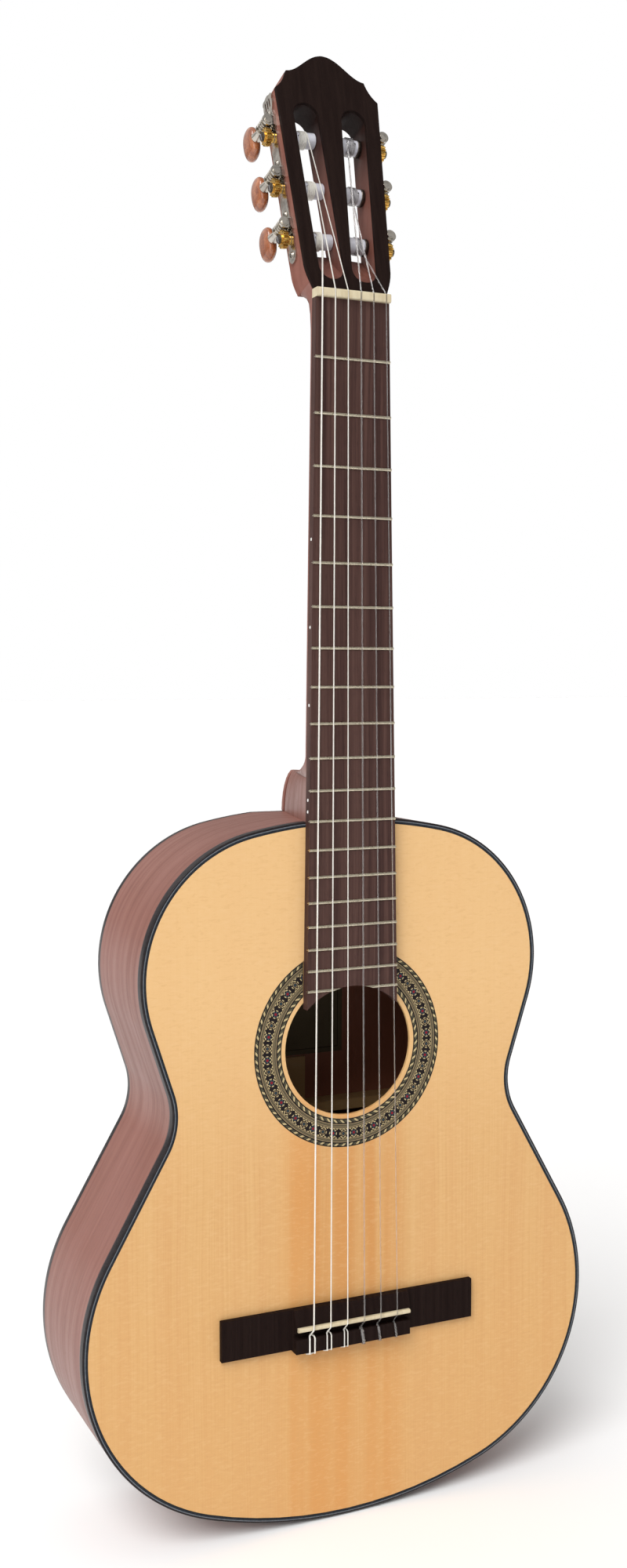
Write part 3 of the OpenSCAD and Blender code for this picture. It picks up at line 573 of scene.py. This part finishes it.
def loft(rings, closed_path=False, caps=True):
    """(points, faces, grain) through rings with the same number of points."""
    count, size = len(rings), len(rings[0])
    points = [p for r in rings for p in r]
    around = [[0.0] for _ in rings]
    for k, r in enumerate(rings):
        for j in range(size):
            around[k].append(around[k][-1] + (r[(j + 1) % size] - r[j]).length)
    lengths = [0.0]
    for k in range(count):
        lengths.append(lengths[-1] + (rings[(k + 1) % count][0] - rings[k][0]).length)
    faces, grain = [], []
    for k in range(count if closed_path else count - 1):
        n = (k + 1) % count
        for j in range(size):
            m = (j + 1) % size
            faces.append((k * size + j, k * size + m, n * size + m, n * size + j))
            grain.append(((lengths[k], around[k][j]), (lengths[k], around[k][j + 1]),
                          (lengths[k + 1], around[n][j + 1]), (lengths[k + 1], around[n][j])))
    if caps and not closed_path:
        for k, order in ((0, range(size - 1, -1, -1)), (count - 1, range(size))):
            faces.append(tuple(k * size + j for j in order))
            grain.append(tuple((lengths[k], around[k][j]) for j in order))
    return points, faces, grain


def tube(path, radius, sides=10):
    """Rings of a round rod along a path of points in metres; radius is in mm."""
    rings, normal = [], None
    for k, p in enumerate(path):
        ahead_dir = (path[min(k + 1, len(path) - 1)] - path[max(k - 1, 0)]).normalized()
        if normal is None:
            normal = ahead_dir.orthogonal().normalized()
        normal = (normal - ahead_dir * normal.dot(ahead_dir)).normalized()
        side = ahead_dir.cross(normal)
        rings.append([p + (normal * math.cos(a) + side * math.sin(a)) * radius * MM
                      for a in (2 * math.pi * j / sides for j in range(sides))])
    return rings


def rounded(points, reach, steps=5):
    """The path through the points with its corners rounded over reach mm on both sides."""
    out = [points[0]]
    for before, corner, after in zip(points, points[1:], points[2:]):
        back, on = before - corner, after - corner
        start = corner + back.normalized() * min(reach * MM, back.length * 0.45)
        end = corner + on.normalized() * min(reach * MM, on.length * 0.45)
        for s in range(steps + 1):
            t = s / steps
            out.append(start * (1 - t) ** 2 + corner * 2 * t * (1 - t) + end * t ** 2)
    return out + [points[-1]]


def dress(nodes, material, bevel=0.0, angle=30.0):
    """Gives CAD nodes a material and smooth shading, with rounded edges where bevel, in mm, isn't zero."""
    for node in nodes.split():
        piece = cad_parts[node]
        piece.data.materials.clear()
        piece.data.materials.append(material)
        if "custom_normal" in piece.data.attributes:
            piece.data.attributes.remove(piece.data.attributes["custom_normal"])
        piece.data.shade_smooth()
        weld = piece.modifiers.new("weld", "WELD")
        weld.merge_threshold = 1e-6
        if bevel:
            soft = piece.modifiers.new("soft_edges", "BEVEL")
            soft.width = bevel * MM
            soft.segments = 2
            soft.limit_method = "ANGLE"
            soft.angle_limit = math.radians(angle)
            soft.use_clamp_overlap = True
            soft.harden_normals = True
        else:
            split = piece.modifiers.new("sharp_edges", "EDGE_SPLIT")
            split.split_angle = math.radians(angle)


# ---- Body ----

TOP_Y = -324.0
LOWER_R, WAIST_R, UPPER_R = 121.0, 43.0, 93.0
LOWER_C, WAIST_C, UPPER_C = (58.0, -652.0), (163.0, -505.0), (47.0, -422.0)
BOTTOM_R = (LOWER_R ** 2 - LOWER_C[0] ** 2 - (TAIL_Y - LOWER_C[1]) ** 2) / (2 * (TAIL_Y - LOWER_C[1] + LOWER_R))
BOTTOM_C = (0.0, TAIL_Y + BOTTOM_R)
CREST_R = (UPPER_R ** 2 - UPPER_C[0] ** 2 - (TOP_Y - UPPER_C[1]) ** 2) / (2 * (UPPER_R - TOP_Y + UPPER_C[1]))
CREST_C = (0.0, TOP_Y - CREST_R)
JOINT_HALF = 32.0
JOINT_Y = CREST_C[1] + math.sqrt(CREST_R ** 2 - JOINT_HALF ** 2)
DEPTH_HEEL = 89.0
SIDE_T, BINDING_H, PURFLING = 2.2, 5.5, 1.2
BACK_TILT = math.atan((DEPTH_TAIL - DEPTH_HEEL) / (JOINT_Y - TAIL_Y))


def heading(a, b):
    return math.degrees(math.atan2(b[1] - a[1], b[0] - a[0]))


def run_angle(centre, radius, turn):
    """Direction of the straight run between a convex arc and the concave waist."""
    swing = math.acos((radius + WAIST_R) / math.dist(centre, WAIST_C))
    return heading(centre, WAIST_C) + turn * math.degrees(swing)


RUN_LOW = run_angle(LOWER_C, LOWER_R, -1)
RUN_HIGH = run_angle(UPPER_C, UPPER_R, 1)


def arc(centre, radius, start, end, steps, skip=0):
    angles = [math.radians(start + (end - start) * i / steps) for i in range(skip, steps + 1)]
    return [(centre[0] + radius * math.cos(a), centre[1] + radius * math.sin(a)) for a in angles]


def outline(inset):
    """The body's outline, inset mm inside its edge, as a loop that starts at the middle of the neck joint."""
    half = (arc(BOTTOM_C, BOTTOM_R - inset, -90, heading(BOTTOM_C, LOWER_C), 14)
            + arc(LOWER_C, LOWER_R - inset, heading(BOTTOM_C, LOWER_C), RUN_LOW, 64, 1)
            + arc(WAIST_C, WAIST_R + inset, RUN_LOW + 180, RUN_HIGH + 180, 34)
            + arc(UPPER_C, UPPER_R - inset, RUN_HIGH, heading(CREST_C, UPPER_C), 60)
            + arc(CREST_C, CREST_R - inset, heading(CREST_C, UPPER_C),
                  math.degrees(math.acos(JOINT_HALF / CREST_R)), 8, 1))
    joint = (0.0, half[-1][1])
    return [joint] + half[::-1] + [(-x, y) for x, y in half[1:]]


def back_height(y, above=0.0):
    """Height of the back's outer face at y, or of a plane above it."""
    return -DEPTH_TAIL + (y - TAIL_Y) * math.tan(BACK_TILT) + above / math.cos(BACK_TILT)


def on_back(x, y, z):
    """A point given in the back's own tilted frame, where z is height above its outer face."""
    run = y - TAIL_Y
    return place(x, TAIL_Y + run * math.cos(BACK_TILT) - z * math.sin(BACK_TILT),
                 -DEPTH_TAIL + run * math.sin(BACK_TILT) + z * math.cos(BACK_TILT))


def edge_band(name, profile, where, material, slot_name):
    """A closed band round the body. profile holds (inset, height) pairs."""
    loops = [outline(inset) for inset, height in profile]
    rings = [[where(*loops[k][i], profile[k][1]) for k in range(len(profile))] for i in range(len(loops[0]))]
    points, faces, grain = loft(rings, closed_path=True)
    return add_piece(name, points, faces, material, slot_name, grain=grain)


def build_sides():
    """The bent sides, one closed shell from binding to binding, with the grain along the bend."""
    outer, inner = outline(0), outline(SIDE_T)
    steps = 8
    rings = []
    for (xo, yo), (xi, yi) in zip(outer, inner):
        levels = [k / steps for k in range(steps + 1)]
        ring = [place(xo, yo, -BINDING_H + (back_height(yo, BINDING_H) + BINDING_H) * t) for t in levels]
        ring += [place(xi, yi, -BINDING_H + (back_height(yi, BINDING_H) + BINDING_H) * t) for t in levels[::-1]]
        rings.append(ring)
    points, faces, grain = loft(rings, closed_path=True)
    first = BINDING_H * MM
    grain = [tuple((u, first + v) for u, v in face) for face in grain]
    piece = add_piece("sides", points, faces, SIDE_WOOD, "mahogany", grain=grain)
    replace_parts(piece, "bass_side", "treble_side")


ROUND_EDGE = [(0.0, 0.9), (0.07, 0.52), (0.26, 0.26), (0.52, 0.07), (0.9, 0.0)]

build_sides()
front_profile = ([(0.0, -BINDING_H)] + [(i, -h) for i, h in ROUND_EDGE]
                 + [(1.3, 0.0), (1.3, -PURFLING), (SIDE_T, -PURFLING), (SIDE_T, -BINDING_H)])
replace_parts(edge_band("binding_front", front_profile, place, BINDING, "binding"), "top_binding")
line_profile = [(1.3, 0.0), (1.9, 0.0), (1.9, -PURFLING), (1.3, -PURFLING)]
edge_band("purfling_line", line_profile, place, PURFLING_LIGHT, "purfling")
dark_profile = [(1.9, 0.0), (SIDE_T + PURFLING, 0.0), (SIDE_T + PURFLING, -PURFLING), (1.9, -PURFLING)]
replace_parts(edge_band("purfling_band", dark_profile, place, PURFLING_DARK, "purfling"), "top_purfling")
back_profile = ([(0.0, BINDING_H)] + [(i, h) for i, h in ROUND_EDGE]
                + [(SIDE_T, 0.0), (SIDE_T, BINDING_H)])
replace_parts(edge_band("binding_back", back_profile, on_back, BINDING, "binding"), "back_binding")

dress("soundboard", SPRUCE, bevel=0.35, angle=50)
dress("back_plate", BACK_WOOD)
dress("rosette", ROSETTE)
dress("neck_block tail_block linings fan_braces harmonic_bars bridge_patch back_braces back_centre_strip", BRACE)
dress("paper_label", PAPER)

# ---- Neck and head ----

NUT_W, BOARD_END_W, BOARD_T = 50.5, 64.0, 6.0
HOLE_R = 44.5
BOARD_OVER_HOLE = 4.5
BOARD_END_Y = HOLE_Y - BOARD_OVER_HOLE + math.sqrt((HOLE_R + 0.5) ** 2 - (BOARD_END_W / 2) ** 2)
NUT_T = 5.5
HEAD_TILT = math.radians(15)
HEAD_Y, HEAD_Z, HEAD_T, VENEER_T = NUT_T + 0.8, 3.0, 21.0, 2.5
SHOULDER, HEAD_LOW, HEAD_WIDE, WIDE_AT = 18.0, 30.0, 36.0, 135.0
SIDE_TAPER = math.atan((HEAD_WIDE - HEAD_LOW) / (WIDE_AT - SHOULDER))
SIDE_START = HEAD_LOW - SHOULDER * math.tan(SIDE_TAPER)
JOINT_V = 4.0
DEPTH_NUT, DEPTH_HEEL_START = 15.5, 18.0
HEEL_FOOT, CAP_T = 28.0, 3.0
HEEL_SWEEP, CAP_HALF, HEEL_FLARE = 14.0, 8.8, 1.1
NECK_ROUND, HEEL_ROUND = 1.8, 8.0
HEEL_START = JOINT_Y + HEEL_FOOT + HEEL_SWEEP


def board_half(y):
    return (NUT_W + (BOARD_END_W - NUT_W) * y / BOARD_END_Y) / 2


def foot_depth(y):
    return -back_height(y) - CAP_T / math.cos(BACK_TILT)


def cap_edge(turn):
    """Half width of the heel's cap and the y there; turn goes from 0 at its tip to a quarter turn at the body."""
    return CAP_HALF * math.sqrt(1 - 0.97 * math.cos(turn) ** 2), JOINT_Y + HEEL_FOOT * math.cos(turn)


def narrowing(y, half):
    """How far a section of the heel is pulled in to end at a half width a little over that of its cap."""
    return 1 - half * HEEL_FLARE / board_half(y)


def neck_stations():
    """(y, z, tilt, half width, depth, roundness, narrowing) along the neck, from the head to the body."""
    head_half = NUT_W / 2 + (HEAD_LOW - NUT_W / 2) * math.sin(math.pi / 2 * JOINT_V / SHOULDER)
    tilt = HEAD_TILT
    rows = [(HEAD_Y + JOINT_V * math.cos(tilt) - VENEER_T * math.sin(tilt),
             HEAD_Z - JOINT_V * math.sin(tilt) - VENEER_T * math.cos(tilt),
             tilt, head_half, HEAD_T - VENEER_T, 9, 0),
            (NUT_T, 0, tilt * 0.8, NUT_W / 2, 17.4, 4.5, 0),
            (0, 0, tilt * 0.55, NUT_W / 2, 16.6, 2.8, 0),
            (-8, 0, tilt * 0.3, board_half(-8), 16, 2.2, 0),
            (-18, 0, tilt * 0.1, board_half(-18), 15.7, 1.9, 0)]
    for i in range(7):
        y = HEEL_START * i / 6 - 30 * (1 - i / 6)
        depth = DEPTH_NUT + (DEPTH_HEEL_START - DEPTH_NUT) * y / HEEL_START
        rows.append((y, 0, 0, board_half(y), depth, NECK_ROUND, 0))
    for i in range(1, 25):
        a = math.pi / 2 * i / 24
        y, b = HEEL_START - HEEL_SWEEP * math.sin(a), 1 - math.cos(a)
        depth = DEPTH_HEEL_START + (foot_depth(y) - DEPTH_HEEL_START) * b
        rows.append((y, 0, 0, board_half(y), depth, NECK_ROUND + (HEEL_ROUND - NECK_ROUND) * b,
                     narrowing(y, cap_edge(0)[0]) * b))
    for i in range(1, 15):
        wide, y = cap_edge(math.pi / 2 * i / 14)
        rows.append((y, 0, 0, board_half(y), foot_depth(y), HEEL_ROUND, narrowing(y, wide)))
    return rows


def neck_ring(y, z, tilt, half, depth, roundness, narrow, steps=22):
    side = []
    for i in range(steps + 1):
        a = math.pi / 2 * i / steps
        s = math.sin(a) ** (2 / roundness)
        side.append((half * max(math.cos(a), 0) ** (2 / roundness) * (1 - narrow * s), -depth * s))
    section = side + [(-x, d) for x, d in side[-2::-1]]
    return [place(x, y + d * math.sin(tilt), z + d * math.cos(tilt)) for x, d in section]


def build_neck():
    rings = [neck_ring(*row) for row in neck_stations()]
    piece = add_piece("neck_shaft", *loft(rings)[:2], NECK_WOOD, "mahogany", crease=40)
    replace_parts(piece, "neck")


build_neck()
dress("headstock", HEAD_WOOD, bevel=0.5)
dress("head_veneer bridge", BLACK_WOOD, bevel=0.35)
dress("heel_cap", NECK_WOOD, bevel=0.6)
dress("fretboard", BOARD_WOOD, bevel=0.2, angle=50)
dress("frets", FRET_METAL)
dress("side_dots", PEARL)
dress("nut saddle", BONE, bevel=0.15, angle=50)

# ---- Tuning machines ----

AXLE_Z, ROLLER_R = -12.5, 5.0
FIRST_ROLLER, TUNER_PITCH = 37.5, 35.0
WORM_X, WORM_OFFSET = 5.5, 8.5
BUTTON_Z, BUTTON_H, BUTTON_W, BUTTON_LEN = AXLE_Z - 14.5, 16.0, 8.8, 22.0
ROLLER_OF = (0, 1, 2, 2, 1, 0)
STRING_R = (0.36, 0.41, 0.51, 0.37, 0.44, 0.55)
STRING_ON_ROLLER = (-19.1, -20.6, -20.6)
SLOT_X, SLOT_W = -18.4, 17.4
ROLLER_HOLE_X = SLOT_X + 3.3
HUB_END = 8.15


def side_of(i):
    return 1 if i <= 3 else -1


def roller_y(i):
    return FIRST_ROLLER + TUNER_PITCH * ROLLER_OF[i - 1]


def head_point(x, v, w):
    """A point in the head's frame: v along it from the nut, w out of its face."""
    return place(x, HEAD_Y + v * math.cos(HEAD_TILT) + w * math.sin(HEAD_TILT),
                 HEAD_Z - v * math.sin(HEAD_TILT) + w * math.cos(HEAD_TILT))


def side_point(i, x, y, z):
    """A point in the frame of the head's side for string i: x outwards, y along the side."""
    c, s = math.cos(SIDE_TAPER), math.sin(SIDE_TAPER)
    return head_point(side_of(i) * (SIDE_START + x * c + y * s), y * c - x * s, z)


def build_button(i):
    """A rounded oval block with flattened faces that dip in a little at mid-height."""
    y0 = roller_y(i) + WORM_OFFSET
    rings = []
    rows, around = 26, 40
    for k in range(rows + 1):
        a = -math.pi / 2 + math.pi * k / rows
        size = max(math.cos(a), 0.0) ** 0.60
        size = max(size, 0.10)
        height = BUTTON_Z - BUTTON_H / 2 + BUTTON_H / 2 * math.sin(a)
        ring = []
        for j in range(around):
            b = 2 * math.pi * j / around
            cx, cy = math.cos(b), math.sin(b)
            square = (abs(cx) ** 2.3 + abs(cy) ** 2.3) ** (-1 / 2.3)
            waist = 1 - 0.10 * math.exp(-(math.sin(a) * 1.6) ** 2) * (1 - cy * cy)
            ring.append(side_point(i, WORM_X + BUTTON_W / 2 * size * cx * square * waist,
                                   y0 + BUTTON_LEN / 2 * size * cy * square, height - 0.02))
        rings.append(ring)
    piece = add_piece(f"button_oval_{i}", *loft(rings)[:2], AMBER, "button_plastic", f"tuner_{i}", crease=60)
    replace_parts(piece, f"button_{i}")


def build_winding(i):
    """The string's turns on its roller, the end through the roller's hole, and a short tail."""
    r = STRING_R[i - 1]
    start, hole = STRING_ON_ROLLER[ROLLER_OF[i - 1]], ROLLER_HOLE_X
    reach = ROLLER_R + r * 0.96
    turns = max(1, round(abs(hole - start) / (2.05 * r)))
    turns = min(turns, 6)
    path = []
    steps = 22 * turns
    for k in range(steps + 1):
        a = 2 * math.pi * turns * k / steps
        x = start + (hole - start) * k / steps
        path.append(side_point(i, x, roller_y(i) + reach * math.sin(a), AXLE_Z + reach * math.cos(a)))
    path.append(side_point(i, hole, roller_y(i), AXLE_Z + reach - 1.2))
    path.append(side_point(i, hole, roller_y(i), AXLE_Z - ROLLER_R - 0.6))
    path.append(side_point(i, hole + 0.5, roller_y(i) + 1.2, AXLE_Z - ROLLER_R - 2.2))
    path.append(side_point(i, hole + 1.4, roller_y(i) + 3.2, AXLE_Z - ROLLER_R - 3.2))
    points, faces, grain = loft(tube(path, r, 8))
    material, slot_name = (NYLON, "string_plain") if i <= 3 else (WOUND, "string_wound")
    add_piece(f"winding_{i}", points, faces, material, slot_name, f"drum_{i}", grain=grain)


def lathe(i, profile, sides=32):
    """Rings of a turned part on roller i's axis, through (x, radius) pairs."""
    return [[side_point(i, x, roller_y(i) + radius * math.sin(a), AXLE_Z + radius * math.cos(a))
             for a in (2 * math.pi * j / sides for j in range(sides))] for x, radius in profile]


def build_gear_screw(i):
    """The dark slotted screw that holds the gear: a dished washer and two half heads beside the slot."""
    base = [(HUB_END - 0.05, 2.9), (HUB_END + 0.2, 3.0), (HUB_END + 0.45, 2.8), (HUB_END + 0.62, 0.05)]
    points, faces, grain = loft(lathe(i, base))
    slot_half, arc_steps = 0.38, 14
    for way in (-1, 1):
        rows = []
        for step, radius in ((0.5, 2.65), (1.05, 2.6), (1.3, 2.3), (1.38, 1.7)):
            x = HUB_END + step
            limit = math.asin(slot_half / radius)
            angles = [limit + (math.pi - 2 * limit) * k / arc_steps for k in range(arc_steps + 1)]
            rows.append([side_point(i, x, roller_y(i) + radius * math.cos(a), AXLE_Z + way * radius * math.sin(a))
                         for a in angles])
        more, more_faces, more_grain = loft(rows)
        first = len(points)
        points += more
        faces += [tuple(k + first for k in face) for face in more_faces]
        grain += more_grain
    add_piece(f"gear_screw_{i}", points, faces, DARK_STEEL, "nickel", f"drum_{i}", grain=grain, crease=30)


def build_collar(i):
    """A dark ring round the outer end of the roller."""
    outer = SLOT_X + SLOT_W / 2 - 0.45
    profile = [(outer - 2.4, 4.6), (outer - 2.3, 5.35), (outer - 2.0, 5.6), (outer - 0.5, 5.6), (outer - 0.1, 5.35),
               (outer, 4.6)]
    points, faces, grain = loft(lathe(i, profile + profile[:1]), caps=False)
    add_piece(f"collar_{i}", points, faces, DARK_STEEL, "nickel", f"drum_{i}", grain=grain)


for string in range(1, 7):
    build_button(string)
    build_winding(string)
    build_gear_screw(string)
    build_collar(string)
    dress(f"worm_{string}", NICKEL)
    dress(f"gear_{string}", BRASS, bevel=0.12)
    dress(f"roller_{string}", ROLLER, bevel=0.3)
dress("tuner_plate_bass tuner_plate_treble", NICKEL)
dress("plate_screws", SCREW_NICKEL, bevel=0.1)

# ---- Strings and bridge ----

NUT_GAP, SADDLE_GAP = 8.8, 12.0
NUT_STRING_Z, SADDLE_TOP_Z, TIE_Z = BOARD_T + 2.4, 11.0, 5.2
TIE_Y, TIE_FRONT, BLOCK_H = SADDLE_Y - 16.0, SADDLE_Y - 6.5, 8.6


def string_x(i, gap):
    return (3.5 - i) * gap


def build_string(i):
    """The string from its roller over the nut and saddle, down to its hole in the tie block."""
    r = STRING_R[i - 1]
    near, far = string_x(i, NUT_GAP), string_x(i, SADDLE_GAP)
    lean = -1.2 if i > 3 else -0.7
    path = rounded([
        side_point(i, STRING_ON_ROLLER[ROLLER_OF[i - 1]], roller_y(i), AXLE_Z + ROLLER_R + r),
        place(near, NUT_T - 0.6, NUT_STRING_Z),
        place(near, 0.6, NUT_STRING_Z),
        place(far, SADDLE_Y + 0.3, SADDLE_TOP_Z + r),
        place(far, SADDLE_Y - 0.9, SADDLE_TOP_Z + r - 0.35),
        place(far + lean, TIE_FRONT + 0.9, 7.2),
        place(far, TIE_FRONT - 1.0, TIE_Z),
        place(far, TIE_Y - 0.4, TIE_Z)], 0.8)
    material, slot_name = (NYLON, "string_plain") if i <= 3 else (WOUND, "string_wound")
    points, faces, grain = loft(tube(path, r, 12))
    piece = add_piece(f"string_line_{i}", points, faces, material, slot_name, grain=grain)
    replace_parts(piece, f"string_{i}")


def build_tie(i):
    """The string's loop over the tie block: two strands in the bass, a twisted pair in the treble."""
    r = STRING_R[i - 1]
    x = string_x(i, SADDLE_GAP)
    top, rear = BLOCK_H + r, TIE_Y - r - 0.1
    if i > 3:
        half = 0.9 + 0.3 * (i - 3)
        left, right = x - half, x + half
        path = rounded([
            place(x, TIE_Y - 0.3, TIE_Z), place(x - 0.3, rear, TIE_Z + 0.2), place(left, rear, 6.6),
            place(left, rear, top), place(left, TIE_FRONT - 0.2, top),
            place(left + 0.3, TIE_FRONT + 1.0, top - 1.2),
            place(x, TIE_FRONT + 1.5, 5.9), place(right - 0.3, TIE_FRONT + 1.0, top - 1.2),
            place(right, TIE_FRONT - 0.2, top), place(right, rear, top), place(right - 0.1, rear - 0.05, 7.0),
            place(x - 0.4, rear - 2 * r, 6.6), place(left - 1.6, rear - r, 6.4)], 0.7)
    else:
        path = [place(x, TIE_Y - 0.3, TIE_Z), place(x, rear, TIE_Z + 0.4), place(x, rear, 7.6)]
        steps, bend = 40, 0.95 * r
        for turn, order in ((0.0, range(steps + 1)), (math.pi, range(steps, -1, -1))):
            for k in order:
                t = k / steps
                a = turn + 2 * math.pi * 2.5 * t
                y = rear + (TIE_FRONT + 0.6 - rear) * t
                lift = top + r - 1.6 * max(0.0, (t - 0.85) / 0.15) ** 2 - 0.9 * max(0.0, (0.1 - t) / 0.1) ** 2
                path.append(place(x + 0.7 - 1.6 * t + 1.3 * bend * math.cos(a), y, lift + bend * math.sin(a)))
        path += [place(x + 0.9, rear - r, 7.2), place(x + 1.8, rear - r, 6.0)]
        path = rounded(path, 0.5, 2)
    material, slot_name = (NYLON, "string_plain") if i <= 3 else (WOUND, "string_wound")
    points, faces, grain = loft(tube(path, r, 10))
    add_piece(f"string_tie_{i}", points, faces, material, slot_name, grain=grain)


for string in range(1, 7):
    build_string(string)
    build_tie(string)

# ---- Floor ----

floor_mesh = bpy.data.meshes.new("floor")
SPAN = 40.0
floor_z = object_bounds()[0][2] - 0.0008
floor_corners = [(a * SPAN, b * SPAN, floor_z) for a, b in ((-1, -1), (1, -1), (1, 1), (-1, 1))]
floor_mesh.from_pydata(floor_corners, [], [(0, 1, 2, 3)])
floor_finish = Finish("floor", Roughness=0.9, Specular_IOR_Level=0.1)
floor_x, _, floor_h = floor_finish.position()
floor_tone = floor_finish.noise(floor_finish.vector(floor_x * 0.004, floor_h * 0.004), detail=2.0)
floor_finish.colour(floor_finish.mix(floor_tone, (0.90, 0.90, 0.90), (0.92, 0.92, 0.92)))
floor_mesh.materials.append(floor_finish.material)
floor_piece = bpy.data.objects.new("floor", floor_mesh)
scene.collection.objects.link(floor_piece)
